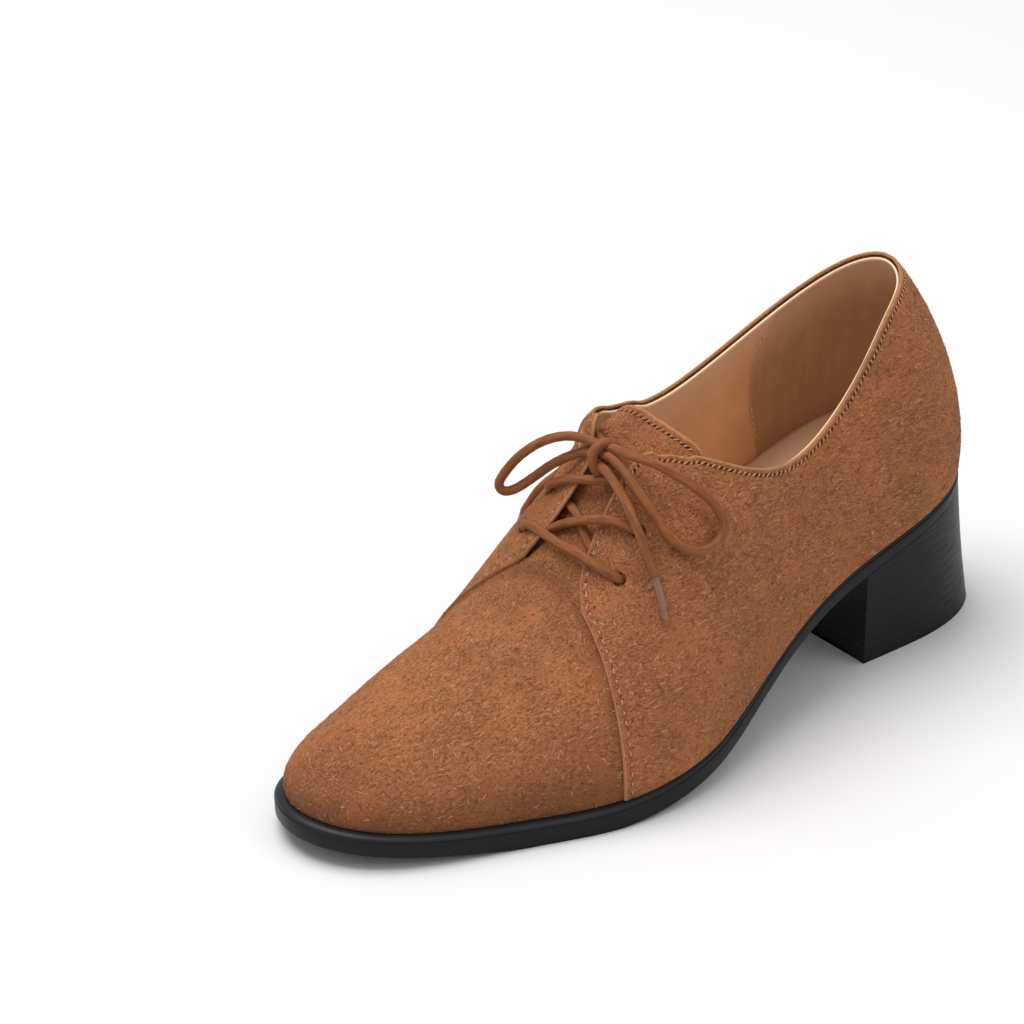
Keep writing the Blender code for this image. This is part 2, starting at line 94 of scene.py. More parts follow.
# How far the front edges of the flaps stay from the middle, as station and distance.
FACING = {
    1: ((4.9, 18.5), (5.15, 18.2), (5.33, 15.7), (5.5, 12.6), (5.58, 10.4), (5.71, 8.8), (5.9, 8.0),
        (6.1, 7.9), (6.4, 8.7), (6.62, 10.0), (6.8, 11.8), (6.92, 15.0), (7.0, 18.5)),
    -1: ((5.5, 7.8), (5.65, 6.2), (5.85, 5.3), (6.1, 5.0), (6.4, 5.8), (6.62, 7.5), (6.8, 10.0),
         (6.92, 13.5), (7.0, 22.0)),
}
FLAP_START = 4.9     # station from which a flap's front edge may end a rib
FLAP_TIP = 5.55      # station up to which the collar may end it

# The inner flap's tip ends lower than the collar behind it, by the first value, sinking between two stations.
TIP_DROP = (4.4, 4.65, 5.15)

# How the inner flap stands off the foot: its height, the stations between which it grows and fades, and the
# share of a rib below the free edge over which it rises. The tip curls, and the front edge stands off.
TIP_CURL = {"lift": 6.5, "grow": (4.4, 5.4), "fade": (6.1, 5.6), "below": 0.34}
FRONT_STAND = {"lift": 1.7, "grow": (5.5, 5.9), "fade": (6.98, 6.7), "below": 0.14}

# Lace holes as station and height share.
HOLES = {"low_lat": (6.54, 0.71), "low_med": (15.5, 0.69),
         "high_med": (15.84, 0.72), "high_lat": (6.17, 0.74)}

# The upright seam of the lining: height shares and the stations from the heel at which it crosses them.
LINING_SEAM = ((0.1, 0.2, 0.285, 0.367, 0.445, 0.492, 0.6), (2.62, 2.65, 2.66, 2.64, 2.53, 2.35, 2.2))

HEEL_FRONT = 50.8    # place of the heel's breast
HEEL_FLARE = 6.0     # how much further back the heel ends on the floor
HEEL_NARROW = 0.93   # width on the floor as a share of the width above
HEEL_GAP = 0.1       # between the outsole and the heel
BREAST_HOLLOW = 1.1  # how far the breast is hollowed

# Edges: thickness of the leather where it is rolled over, and the rows that carry its foot in under the last,
# as distance inwards and down.
COLLAR_ROLL = 1.15
FRONT_ROLL = 1.3
TONGUE_THICK = 1.5
LINING_ROLL = 0.75
TUCK = ((2.6, 0.9), (0.9, 0.75), (0.2, 0.35), (0, 0))
INSIDE = 9.0         # mark for leather that is far from a free edge

# Seams: how far the stitches stay from the edge, and up to which place along the shoe the collar's slits run.
COLLAR_ROW = 1.6
FRONT_ROW = 2.0
TONGUE_ROW = 1.8
SLITS_END = {1: 132.0, -1: 112.0}


def column(name):
    """The values of one column, heel to toe."""
    place = COLUMNS.index(name)
    return np.array([row[place] for row in SECTIONS.values()], float)


def closed_curve(lateral, medial=None):
    """Periodic cubic spline through one value per station, up the outer side and back down the inner."""
    medial = lateral if medial is None else medial
    values = np.concatenate([lateral, medial[-2:0:-1]])
    if values.ndim == 1:
        values = values[:, None]
    count = len(values)
    eye = np.eye(count)
    matrix = 4 * eye + np.roll(eye, 1, 0) + np.roll(eye, -1, 0)
    bend = np.linalg.solve(matrix, 6 * (np.roll(values, 1, 0) - 2 * values + np.roll(values, -1, 0)))

    def at(station):
        station = np.mod(np.asarray(station, float), count)
        low = np.floor(station).astype(int) % count
        high = (low + 1) % count
        t = (station - np.floor(station))[..., None]
        a = 1 - t
        return (values[low] * a + values[high] * t
                + ((a ** 3 - a) * bend[low] + (t ** 3 - t) * bend[high]) / 6)

    return at


FEATHER = closed_curve(np.stack([column("lat_x"), column("lat_y"), column("feather")], 1),
                       np.stack([column("med_x"), column("med_y"), column("feather")], 1))
CREST = closed_curve(np.stack([column("crest_x"), column("crest_y"), column("crest_z")], 1))
ANGLE = np.radians(column("turn"))
TURN = closed_curve(np.stack([np.cos(ANGLE), np.sin(ANGLE)], 1), np.stack([np.cos(ANGLE), -np.sin(ANGLE)], 1))
OUT = closed_curve(column("lat_out"), column("med_out"))
TOP = closed_curve(column("lat_top"), column("med_top"))
MARGIN = closed_curve(column("margin"))
EDGE = closed_curve(column("edge"))


def unit(vectors):
    """Each vector divided by its length."""
    return vectors / np.maximum(np.linalg.norm(vectors, axis=-1, keepdims=True), 1e-12)


def run_length(points):
    """Distance along a line from its first point to each point."""
    return np.concatenate([[0], np.cumsum(np.linalg.norm(np.diff(points, axis=0), axis=1))])


def smooth(low, high, value):
    """0 at low, 1 at high, with soft ends. low may be the larger one."""
    t = np.clip((np.asarray(value, float) - low) / (high - low), 0, 1)
    return t * t * (3 - 2 * t)


def bump(centre, width, value):
    """A bell of height 1 at centre, about twice width across."""
    return np.exp(-((np.asarray(value, float) - centre) / width) ** 2)


def outward(station):
    """Level direction away from the foot, square to the feather line."""
    step = 0.001
    along = FEATHER(station + step) - FEATHER(station - step)
    return unit(np.stack([-along[..., 1], along[..., 0]], -1))


def level_out(stations):
    """The same direction with a height of zero, one row per station."""
    return np.concatenate([outward(stations), np.zeros((len(stations), 1))], 1)


def last_skin(station, height):
    """Cubic Bezier rib from the feather line, at height 0, to the crest of the last, at height 1."""
    station, height = np.broadcast_arrays(np.asarray(station, float), np.asarray(height, float))
    foot = FEATHER(station)
    crest = CREST(station)
    lean = foot.copy()
    lean[..., :2] += outward(station) * OUT(station)
    lean[..., 2] += RISE * (crest - foot)[..., 2]
    width = np.linalg.norm((crest - foot)[..., :2], axis=-1, keepdims=True)
    shoulder = crest.copy()
    shoulder[..., :2] += unit(TURN(station)) * width * REACH
    t = height[..., None]
    a = 1 - t
    return a ** 3 * foot + 3 * a * a * t * lean + 3 * a * t * t * shoulder + t ** 3 * crest


def one_sided_normal(station, height):
    """Cross product of the rib's direction and the direction along the shoe."""
    step = 0.0001
    height = np.minimum(height, 0.99)
    along = last_skin(station + step, height) - last_skin(station - step, height)
    up = last_skin(station, height + step) - last_skin(station, height - step)
    return unit(np.cross(up, along))


def normal(station, height):
    """Outward normal. Both sides share it on the crest."""
    station, height = np.broadcast_arrays(np.asarray(station, float), np.asarray(height, float))
    here = one_sided_normal(station, height)
    there = one_sided_normal(ROUND - station, height)
    share = 0.5 * np.clip((height - 0.9) / 0.1, 0, 1)[..., None]
    return unit(here * (1 - share) + there * share)


def skin(station, height, offset=0.0):
    """The last's skin moved outwards by offset."""
    offset = np.asarray(offset, float)[..., None] if np.ndim(offset) else offset
    return last_skin(station, height) + normal(station, height) * offset


def facing(near_toe, side):
    """Distance of a flap's front edge from the middle: a smooth cubic through the rows of FACING."""
    x, y = np.array(FACING[side]).T
    slope = np.gradient(y, x)
    near_toe = np.clip(near_toe, x[0], x[-1])
    i = np.clip(np.searchsorted(x, near_toe) - 1, 0, len(x) - 2)
    h = x[i + 1] - x[i]
    t = (near_toe - x[i]) / h
    return (y[i] * (1 + 2 * t) * (1 - t) ** 2 + y[i + 1] * t * t * (3 - 2 * t)
            + h * (slope[i] * t * (1 - t) ** 2 + slope[i + 1] * t * t * (t - 1)))


def rib_top(stations, side, samples=401):
    """Height share at which a quarter ends: where its rib meets the collar's height or the flap's edge."""
    near_toe = stations if side > 0 else ROUND - stations
    height = np.linspace(0, 1, samples)
    points = last_skin(stations[:, None], height[None])
    collar = TOP(stations)[:, 0]
    sink, begin, end = TIP_DROP
    tops = []
    for row, station, level, keep in zip(points, near_toe, collar, facing(near_toe, side)):
        drop = sink * smooth(begin, end, station) if side < 0 else 0.0
        by_collar = np.interp(level - drop, row[:, 2], height) if station <= FLAP_TIP else 1.0
        across = row[:, 1] * side
        last = samples - 1 - np.argmax(across[::-1] >= keep)
        after = min(last + 1, samples - 1)
        part = (across[last] - keep) / max(across[last] - across[after], 1e-9)
        by_facing = height[last] + (height[after] - height[last]) * min(part, 1)
        tops.append(by_collar if station < FLAP_START else min(by_collar, by_facing))
    return np.array(tops)


def stand_off(near_toe, height, tops, lift, grow, fade, below):
    """Height times three soft steps: along the edge where it grows and fades, and up the rib to the edge."""
    return lift * smooth(*grow, near_toe) * smooth(*fade, near_toe) * smooth(tops - below, tops, height)


def curl(stations, height, tops):
    """Lift of the inner flap off the foot: the sum of its curled tip and its standing front edge."""
    near_toe = ROUND - stations
    lift = sum(stand_off(near_toe, height, tops, **part) for part in (TIP_CURL, FRONT_STAND))
    return np.where(stations > TOE, lift, 0)


def even_stations(first, last, spacing):
    """Stations at even distance along the feather line."""
    fine = np.linspace(first, last, 2001)
    points = FEATHER(fine)
    length = run_length(points)
    even = np.linspace(0, 1, round(length[-1] / spacing) + 1)
    return np.interp(even * length[-1], length, fine)


def dense_ends(count, low=0.75, high=0.75):
    """Shares from 0 to 1, drawn towards both ends by a sine wave, as much as low and high say."""
    v = np.linspace(0, 1, count)
    pull = low * (1 - v) + high * v
    return np.clip(v - pull * np.sin(2 * np.pi * v) / (2 * np.pi), 0, 1)


# Soft troughs and ridges of the upper: place on the last as station and height share, half length along
# a direction in degrees from the rib, half width, depth. Millimetres, a negative depth is a ridge.
CREASES = (
    ("beside the outer seam", 7.35, 0.62, 15.0, 8.0, 4.5, 0.9),
    ("throat dip", 7.25, 0.93, 16.0, 80.0, 5.0, 0.6),
    ("first bend", 7.8, 0.86, 22.0, 70.0, 3.2, 0.30),
    ("second bend", 8.15, 0.90, 18.0, 74.0, 2.8, 0.22),
    ("flank fold", 6.0, 0.52, 13.0, 35.0, 4.0, 0.45),
    ("hole row pull", 6.35, 0.62, 9.0, 20.0, 2.6, 0.30),
    ("waist fold", 4.6, 0.70, 14.0, 65.0, 4.0, 0.35),
    ("inner flank fold", 16.2, 0.50, 13.0, 40.0, 4.0, 0.40),
    ("inner bend", 14.3, 0.84, 16.0, 66.0, 3.0, 0.25),
    ("counter edge", 2.4, 0.55, 24.0, 4.0, 2.6, 0.22),
)


def creases(points):
    """Sum of bells around short straight lines on the skin, each as wide and deep as its row says."""
    depth = np.zeros(points.shape[:-1])
    for _name, station, height, reach, angle, width, deep in CREASES:
        centre = last_skin(station, height)
        along = unit(last_skin(station + 0.01, height) - last_skin(station - 0.01, height))
        up = unit(last_skin(station, height + 0.01) - last_skin(station, height - 0.01))
        run = unit(math.cos(math.radians(angle)) * up + math.sin(math.radians(angle)) * along)
        step = points - centre
        place = step @ run
        away = np.sqrt(np.maximum((step ** 2).sum(-1) - place ** 2, 0))
        depth += deep * np.exp(-(away / width) ** 2 - (place / reach) ** 4)
    return -depth


def grid_faces(rows, columns):
    """Corners of the four-sided faces between the points of a grid, row by row."""
    index = np.arange(rows * columns).reshape(rows, columns)
    return np.stack([index[:-1, :-1], index[:-1, 1:], index[1:, 1:], index[1:, :-1]], -1).reshape(-1, 4)


class Shape:
    """Points and faces of one mesh while it is put together, with named marks on the points."""

    def __init__(self):
        self.points, self.quads, self.marks, self.count = [], [], {}, 0

    def grid(self, points, flip=False, keep=None, **marks):
        """Adds a rows by columns grid of points. Its faces look to the side of columns cross rows."""
        rows, columns = points.shape[:2]
        quads = grid_faces(rows, columns) + self.count
        if keep is not None:
            quads = quads[keep.ravel()]
        self.quads.append(quads[:, ::-1] if flip else quads)
        self.points.append(points.reshape(-1, 3))
        for name, value in marks.items():
            spread = np.broadcast_to(value, (rows, columns)).ravel()
            self.marks.setdefault(name, []).append((self.count, spread))
        self.count += rows * columns

    def build(self, name, material, merge=0.004, sharp=None):
        """Makes the mesh object, in metres, with points closer than merge made one."""
        points = np.concatenate(self.points) * MM
        quads = np.concatenate(self.quads)
        mesh = bpy.data.meshes.new(name)
        mesh.from_pydata(points.tolist(), [], quads.tolist())
        for mark, parts in self.marks.items():
            values = np.zeros(len(points), np.float32)
            for start, part in parts:
                values[start:start + len(part)] = part
            mesh.attributes.new(mark, "FLOAT", "POINT").data.foreach_set("value", values)
        return finish_mesh(name, mesh, material, merge, sharp)


def finish_mesh(name, mesh, material, merge=0.004, sharp=None):
    """Merges doubles, shades smooth, links the object and lets it ride on the shoe's one body."""
    if merge:
        work = bmesh.new()
        work.from_mesh(mesh)
        bmesh.ops.remove_doubles(work, verts=work.verts[:], dist=merge * MM)
        bmesh.ops.dissolve_degenerate(work, dist=0.001 * MM, edges=work.edges[:])
        work.to_mesh(mesh)
        work.free()
    mesh.validate()
    mesh.shade_smooth()
    if sharp:
        mesh.set_sharp_from_angle(angle=math.radians(sharp))
    mesh.materials.append(material)
    piece = bpy.data.objects.new(name, mesh)
    bpy.context.scene.collection.objects.link(piece)
    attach(piece, "root")
    return piece


def nearest(points, line):
    """Distance of each point to the closest point of a line."""
    flat = points.reshape(-1, 3)
    found = np.full(len(flat), 1e9)
    for start in range(0, len(flat), 4000):
        part = flat[start:start + 4000]
        found[start:start + 4000] = np.sqrt(((part[:, None] - line[None]) ** 2).sum(-1).min(1))
    return found.reshape(points.shape[:-1])


def rolled_edge(edge, out, face, thickness, steps=7, bulge=1.0):
    """A half round edge: from each edge point an arc out along out and down against face."""
    turn = np.linspace(0, np.pi, steps)
    half = thickness / 2
    return (edge[:, None] + out[:, None] * (half * bulge * np.sin(turn))[None, :, None]
            - face[:, None] * (half * (1 - np.cos(turn)))[None, :, None])


class Quarter:
    """The outer leather of one side as a grid, with its free edge and the distances from it."""

    def __init__(self, side, spacing=0.85, rows=110):
        self.side = side
        back_seam = [0, 0.012, 0.03, 0.05]
        near = np.concatenate([back_seam, even_stations(0.08, SEAM, spacing)])
        near = np.concatenate([near[:-3], np.linspace(near[-4], SEAM, 9)[1:]])
        self.stations = near if side > 0 else ROUND - near
        self.tops = rib_top(self.stations, side)
        height = dense_ends(rows)[None] * self.tops[:, None]
        self.normals = normal(self.stations[:, None], height)
        self.base = last_skin(self.stations[:, None], height)
        self.lift = curl(self.stations[:, None], height, self.tops[:, None])
        lifted = self.surface(0.0)
        self.edge_line = np.concatenate([lifted[-1], lifted[::-1, -1]])
        self.rim = nearest(lifted, self.edge_line)

    def surface(self, offset):
        """The grid moved outwards by offset, with the lift of the inner flap."""
        return self.base + self.normals * (np.asarray(offset) + self.lift)[..., None]


class Socket:
    """A shader value that can stand in an expression. Each operator adds its Math node."""

    def __init__(self, finish, link):
        self.finish, self.link = finish, link

    def math(self, operation, *others):
        inputs = dict(enumerate((self,) + others))
        return self.finish.node("ShaderNodeMath", inputs, operation=operation)

    def __add__(self, other):
        return self.math("ADD", other)

    def __sub__(self, other):
        return self.math("SUBTRACT", other)

    def __rsub__(self, other):
        return self.finish.value(other).math("SUBTRACT", self)

    def __mul__(self, other):
        return self.math("MULTIPLY", other)

    def __truediv__(self, other):
        return self.math("DIVIDE", other)

    __radd__ = __add__
    __rmul__ = __mul__


class Finish:
    """One material under construction, around a Principled shader."""

    def __init__(self, name, **constants):
        self.material = bpy.data.materials.new(name)
        self.material.use_nodes = True
        self.tree = self.material.node_tree
        self.shader = self.tree.nodes["Principled BSDF"]
        for socket, value in constants.items():
            self.shader.inputs[socket.replace("_", " ")].default_value = value

    def node(self, kind, inputs=None, out=0, **settings):
        """Adds a node: its settings first, then the values or links of its sockets."""
        node = self.tree.nodes.new(kind)
        for key, value in settings.items():
            setattr(node, key, value)
        for key, value in (inputs or {}).items():
            if isinstance(value, Socket):
                self.tree.links.new(value.link, node.inputs[key])
            else:
                node.inputs[key].default_value = value
        return Socket(self, node.outputs[out])

    def value(self, number):
        """A plain number as a shader value."""
        node = self.tree.nodes.new("ShaderNodeValue")
        node.outputs[0].default_value = number
        return Socket(self, node.outputs[0])

    def place(self):
        """Object coordinates, in metres."""
        return self.node("ShaderNodeTexCoord", out="Object")

    def mark(self, name):
        """A value kept on the mesh's points."""
        return self.node("ShaderNodeAttribute", out="Fac", attribute_name=name)

    def noise(self, place, scale, detail=2.0, rough=0.5, distortion=0.0):
        """Noise around 0.5, with scale spots to a metre."""
        return self.node("ShaderNodeTexNoise", {"Vector": place, "Scale": scale, "Detail": detail,
                                                "Roughness": rough, "Distortion": distortion})

    def step(self, value, low, high, to_low=0.0, to_high=1.0):
        """Soft change from to_low at low to to_high at high."""
        return self.node("ShaderNodeMapRange", {"Value": value, "From Min": low, "From Max": high,
                                                "To Min": to_low, "To Max": to_high},
                         interpolation_type="SMOOTHSTEP")

    def mix(self, first, second, share):
        """Colour between two colours."""
        colours = [c if isinstance(c, Socket) else (*c, 1.0) for c in (first, second)]
        return self.node("ShaderNodeMix", {0: share, 6: colours[0], 7: colours[1]}, out=2, data_type="RGBA")

    def turned(self, place, angles, scale):
        """Coordinates turned and stretched, for strokes that lie along one direction."""
        return self.node("ShaderNodeMapping", {"Vector": place, "Rotation": [math.radians(a) for a in angles],
                                               "Scale": scale})

    def bump(self, height, depth, strength):
        """Normal of a relief whose full height is depth, in metres."""
        return self.node("ShaderNodeBump", {"Height": height, "Distance": depth, "Strength": strength})

    def finish(self, **links):
        """Links values to the shader's sockets and gives the material."""
        for socket, value in links.items():
            self.tree.links.new(value.link, self.shader.inputs[socket.replace("_", " ")])
        return self.material


def darker(colour, share):
    """A colour times a share. Over 1 it is lighter."""
    return tuple(c * share for c in colour)


# Turns, in degrees, of the directions in which the strokes of the nap lie.
STROKE_TURNS = ((0, 35, 20), (25, -30, 75), (60, 10, -35), (15, 70, 120))


def suede(colour):
    """Brushed nap: clouds, short strokes that lie by patches, fine pits, a paler rim and a shade mark."""
    f = Finish("brushed_suede", Roughness=0.92, Specular_IOR_Level=0.08, Sheen_Weight=0.10,
               Sheen_Roughness=0.5, Sheen_Tint=(0.9, 0.58, 0.36, 1))
    place = f.place()
    cloud = f.noise(place, 42, 3.0, 0.6)
    patch = f.noise(place, 150, 3.0, 0.65, 0.5)
    grain = f.noise(place, 1700, 2.0, 0.7)
    pore = f.noise(place, 850, 2.0, 0.6)
    lights, darks = [], []
    for number, angles in enumerate(STROKE_TURNS):
        shift = (0.31 * number, 0.17 * number, 0.0)
        offset = f.node("ShaderNodeMapping", {"Vector": place, "Location": shift})
        where = f.step(f.noise(offset, 70, 1.0), 0.44, 0.56)
        wander = f.node("ShaderNodeTexNoise", {"Vector": offset, "Scale": 230.0}, out=1)
        wander = f.node("ShaderNodeVectorMath", {0: wander, "Scale": 0.0024}, operation="SCALE")
        warped = f.node("ShaderNodeVectorMath", {0: place, 1: wander}, operation="ADD")
        stroke = f.noise(f.turned(warped, angles, (400.0, 1750.0, 1750.0)), 1.0, 2.0, 0.55)
        lights.append(f.step(stroke, 0.57, 0.70) * where)
        darks.append(f.step(stroke, 0.44, 0.33) * where)
    light_strokes, dark_strokes = (reduce(lambda a, b: a.math("MAXIMUM", b), strokes)
                                   for strokes in (lights, darks))
    rim = f.mark("rim")
    edge = f.step(rim, 0.45, 0.08)
    channel = f.step((rim - 1.7).math("ABSOLUTE"), 0.9, 0.15)
    pits = f.step(pore, 0.42, 0.30)
    base = f.mix(darker(colour, 0.84), darker(colour, 1.12), f.step(cloud * 0.5 + patch * 0.5, 0.36, 0.64))
    for tone, share in (
            (darker(colour, 0.40), dark_strokes * 0.62),
            (darker(colour, 0.36), pits * 0.6),
            (darker(colour, 0.62), f.step(grain, 0.56, 0.36) * 0.55),
            ((0.66, 0.33, 0.155), light_strokes * 0.50),
            ((0.58, 0.29, 0.14), f.step(grain, 0.58, 0.72) * 0.4),
            ((0.52, 0.25, 0.115), edge * 0.55),
            (darker(colour, 0.5), channel * 0.25),
            # The shade mark is painted shade: in the dip ahead of the quarters, low on the toe and inside the
            # lace holes.
            (darker(colour, 0.42), f.mark("shade"))):
        base = f.mix(base, tone, share)
    height = (grain * 0.35 + pore * 0.5 + light_strokes * 0.9 - dark_strokes * 0.9 - pits * 0.7
              + patch * 0.6) * (1.0 - edge * 0.6) - channel * 0.5
    return f.finish(Base_Color=base, Normal=f.bump(height, 0.00026, 0.8))


def loose_nap(colour):
    """Raised fibres of the nap, each paler or darker than the leather by its place."""
    f = Finish("loose_nap", Roughness=0.9, Specular_IOR_Level=0.05)
    mood = f.step(f.noise(f.place(), 380, 1.0), 0.44, 0.56)
    return f.finish(Base_Color=f.mix(darker(colour, 0.38), (0.74, 0.40, 0.20), mood))


def lining_leather(colour, name):
    """Smooth tan leather: clouds, fine pores, darker with upright streaks behind its seam, painted light near
    its rim and a pale edge.
    """
    f = Finish(name, Roughness=0.55, Specular_IOR_Level=0.3)
    place = f.place()
    cloud = f.noise(place, 28, 3.0, 0.55)
    pores = f.node("ShaderNodeTexVoronoi", {"Vector": place, "Scale": 1700.0}, feature="F1")
    wear = f.noise(place, 140, 4.0, 0.6)
    streak = f.noise(f.turned(place, (0, 0, 0), (300.0, 300.0, 28.0)), 1.0, 2.0, 0.5)
    rim = f.mark("rim")
    heel = f.mark("heel")
    base = f.mix(darker(colour, 0.88), darker(colour, 1.08), f.step(cloud, 0.35, 0.65))
    base = f.mix(base, darker(colour, 0.9), f.step(wear, 0.5, 0.75) * 0.5)
    base = f.mix(base, (0.36, 0.21, 0.115), heel * (streak * 0.4 + 0.5))
    # Painted light and shade: within 24 mm of the rim the colour moves towards a lighter tan, so the lining
    # is lighter near its top edge, where light reaches in, and darker deeper in the shoe. On the sock the
    # same mix darkens it along its sides: painted shade where it meets the walls.
    base = f.mix(base, (0.86, 0.58, 0.37), f.step(rim, 24.0, 1.0) * 0.5)
    base = f.mix(base, (0.96, 0.74, 0.50), f.step(rim, 0.75, 0.3))
    height = pores * 0.5 + wear * 0.5 + streak * heel * 0.6
    return f.finish(Base_Color=base, Roughness=f.step(wear, 0.3, 0.7, 0.48, 0.62),
                    Normal=f.bump(height, 0.00006, 0.5))


def sole_black(colour, name, lighter=1.0):
    """Black edge-dressed rubber: satin, faint mould clouds and fine scratches along the shoe. lighter makes a
    lighter copy, painted light on the midsole.
    """
    colour = darker(colour, lighter)
    f = Finish(name, Roughness=0.45, Specular_IOR_Level=0.21)
    place = f.place()
    cloud = f.noise(place, 60, 3.0, 0.6)
    scratch = f.noise(f.turned(place, (0, 0, 0), (140.0, 900.0, 1800.0)), 1.0, 3.0, 0.6)
    base = f.mix(darker(colour, 0.8), darker(colour, 1.35), cloud)
    return f.finish(Base_Color=base, Roughness=f.step(cloud * 0.5 + scratch * 0.5, 0.3, 0.7, 0.34, 0.5),
                    Normal=f.bump(scratch, 0.00005, 0.35))


def heel_black(colour, lift):
    """Black stacked leather: thin level joints between the lifts, with grain along each one."""
    f = Finish("stacked_heel", Roughness=0.42, Specular_IOR_Level=0.18)
    place = f.place()
    wave = f.noise(place, 35, 2.0)
    level = f.node("ShaderNodeSeparateXYZ", {"Vector": place}, out="Z") + wave * 0.0012
    layer = (level / (lift * MM)).math("FRACT")
    joint = f.step((layer - 0.5).math("ABSOLUTE"), 0.40, 0.48)
    streak = f.noise(f.turned(place, (0, 0, 0), (90.0, 90.0, 2600.0)), 1.0, 3.0, 0.55)
    fine = f.noise(place, 800, 2.0)
    pale = f.step((layer - 0.12).math("ABSOLUTE"), 0.14, 0.02)
    base = f.mix(darker(colour, 0.75), darker(colour, 1.5), streak)
    base = f.mix(base, darker(colour, 2.6), pale * 0.55)
    base = f.mix(base, darker(colour, 0.5), joint * 0.5)
    height = streak * 0.7 - joint * 0.9 + fine * 0.12
    return f.finish(Base_Color=base, Roughness=f.step(streak, 0.3, 0.7, 0.36, 0.52),
                    Normal=f.bump(height, 0.00014, 0.6))


def cord_finish(colour):
    """Round waxed cord: strands and long fine fibres along its length, read from its own UV map."""
    f = Finish("lace_cord", Roughness=0.6, Specular_IOR_Level=0.18)
    uv = f.node("ShaderNodeUVMap", uv_map="along")
    fibre = f.noise(f.node("ShaderNodeMapping", {"Vector": uv, "Scale": (34.0, 2.6, 1.0)}), 1.0, 3.0, 0.6)
    strand = f.noise(f.node("ShaderNodeMapping", {"Vector": uv, "Scale": (9.0, 1.1, 1.0)}), 1.0, 2.0, 0.5)
    base = f.mix(darker(colour, 0.66), darker(colour, 1.30), f.step(fibre * 0.6 + strand * 0.4, 0.34, 0.66))
    return f.finish(Base_Color=base, Roughness=f.step(fibre, 0.3, 0.7, 0.52, 0.68),
                    Normal=f.bump(fibre + strand * 0.6, 0.00012, 0.55))


def tip_film(colour):
    """Smoky film pressed round the end of the cord."""
    f = Finish("tip_film", Roughness=0.3, Coat_Weight=0.5, Coat_Roughness=0.15)
    place = f.place()
    cloud = f.noise(place, 260, 3.0, 0.6)
    return f.finish(Base_Color=f.mix(darker(colour, 0.7), darker(colour, 1.2), cloud),
                    Normal=f.bump(cloud, 0.0001, 0.4))


def thread(colour, name):
    """Twisted sewing thread."""
    f = Finish(name, Roughness=0.7, Sheen_Weight=0.2)
    place = f.place()
    twist = f.noise(place, 1800, 2.0)
    return f.finish(Base_Color=f.mix(darker(colour, 0.7), darker(colour, 1.2), twist),
                    Normal=f.bump(twist, 0.00008, 0.6))


def shadow_hole():
    """Painted shade for the dark inside of a needle hole or lace hole."""
    f = Finish("needle_hole", Roughness=0.95, Specular_IOR_Level=0.05)
    fibre = f.step(f.noise(f.place(), 700, 2.0), 0.4, 0.6)
    return f.finish(Base_Color=f.mix((0.035, 0.014, 0.007), (0.13, 0.05, 0.024), fibre))


def locate(points, station, height):
    """Station and height share of the skin under given points: Newton steps on the two surface directions."""
    station = np.full(points.shape[:-1], float(station))
    height = np.full(points.shape[:-1], float(height))
    for _ in range(4):
        here = last_skin(station, height)
        along = (last_skin(station + 0.001, height) - last_skin(station - 0.001, height)) / 0.002
        up = (last_skin(station, height + 0.001) - last_skin(station, height - 0.001)) / 0.002
        miss = points - here
        aa, bb, ab = (along ** 2).sum(-1), (up ** 2).sum(-1), (along * up).sum(-1)
        ma, mb = (miss * along).sum(-1), (miss * up).sum(-1)
        size = aa * bb - ab * ab
        station = station + (ma * bb - mb * ab) / size
        height = np.minimum(height + (mb * aa - ma * ab) / size, 0.999)
    return station, height


def leather_offset(points, rim, lap):
    """Lap plus creases, a turned edge raised along the rim, and a shallow channel under its stitches."""
    return lap + creases(points) + 0.06 * smooth(1.2, 0.5, rim) - 0.14 * bump(1.7, 0.7, rim)


def seam_dip(points, depth=0.35, width=1.1):
    """Groove of the seam down the back of the heel: a bell across the middle plane."""
    behind = smooth(20, 12, points[..., 0])
    return -depth * np.exp(-(points[..., 1] / width) ** 2) * behind


def hole_patch(quarter, station, height, shape, around=36):
    """Leather round a lace hole: rings from 2.4 radii out, dipping to the edge and down through the wall,
    darkened by painted shade towards and inside the hole.
    """
    centre = last_skin(station, height)
    face = normal(station, height)
    up = unit(last_skin(station, height + 0.01) - last_skin(station, height - 0.01))
    across = np.cross(face, up)
    turn = np.linspace(0, 2 * np.pi, around + 1)
    circle = np.cos(turn)[:, None] * up + np.sin(turn)[:, None] * across
    rings = np.array([2.4, 2.1, 1.8, 1.5, 1.3, 1.14, 1.04, 1.0, 0.98])
    s, h = locate(centre + circle[None] * (rings * HOLE / 2)[:, None, None], station, height)
    base = last_skin(s, h)
    rim = nearest(base, quarter.edge_line)
    dip = 0.02 - 0.42 * smooth(1.7, 1.0, rings)[:, None] ** 2
    top = base + normal(s, h) * (leather_offset(base, rim, LAP) + dip + curl_at(s, h, quarter))[..., None]
    wall = top[-1][None] - face * np.array([0.35, 1.0, 2.0])[:, None, None]
    marks = np.concatenate([rim, np.repeat(rim[-1:], 3, 0)])
    # Painted shade: darker towards the hole's edge and all down its wall.
    dark = np.concatenate([smooth(1.25, 0.98, rings), np.ones(3)])[:, None]
    shape.grid(np.concatenate([top, wall]), flip=True, rim=marks, shade=0.9 * dark)


def curl_at(stations, heights, quarter):
    """The lift of the inner flap at places off the grid."""
    order = np.argsort(quarter.stations)
    tops = np.interp(stations, quarter.stations[order], quarter.tops[order])
    return curl(stations, heights, tops)


@cache
def quarter_skin(side):
    """The grid of one side of the upper and its outer surface."""
    quarter = Quarter(side)
    return quarter, quarter.surface(leather_offset(quarter.base, quarter.rim, LAP) + seam_dip(quarter.base))


def tucked_foot(foot, stations):
    """Rows from under the last out to the leather's foot, each the foot line moved inwards and down."""
    level = level_out(stations)
    return np.stack([foot - level * inwards - [0, 0, down] for inwards, down in TUCK], 1)


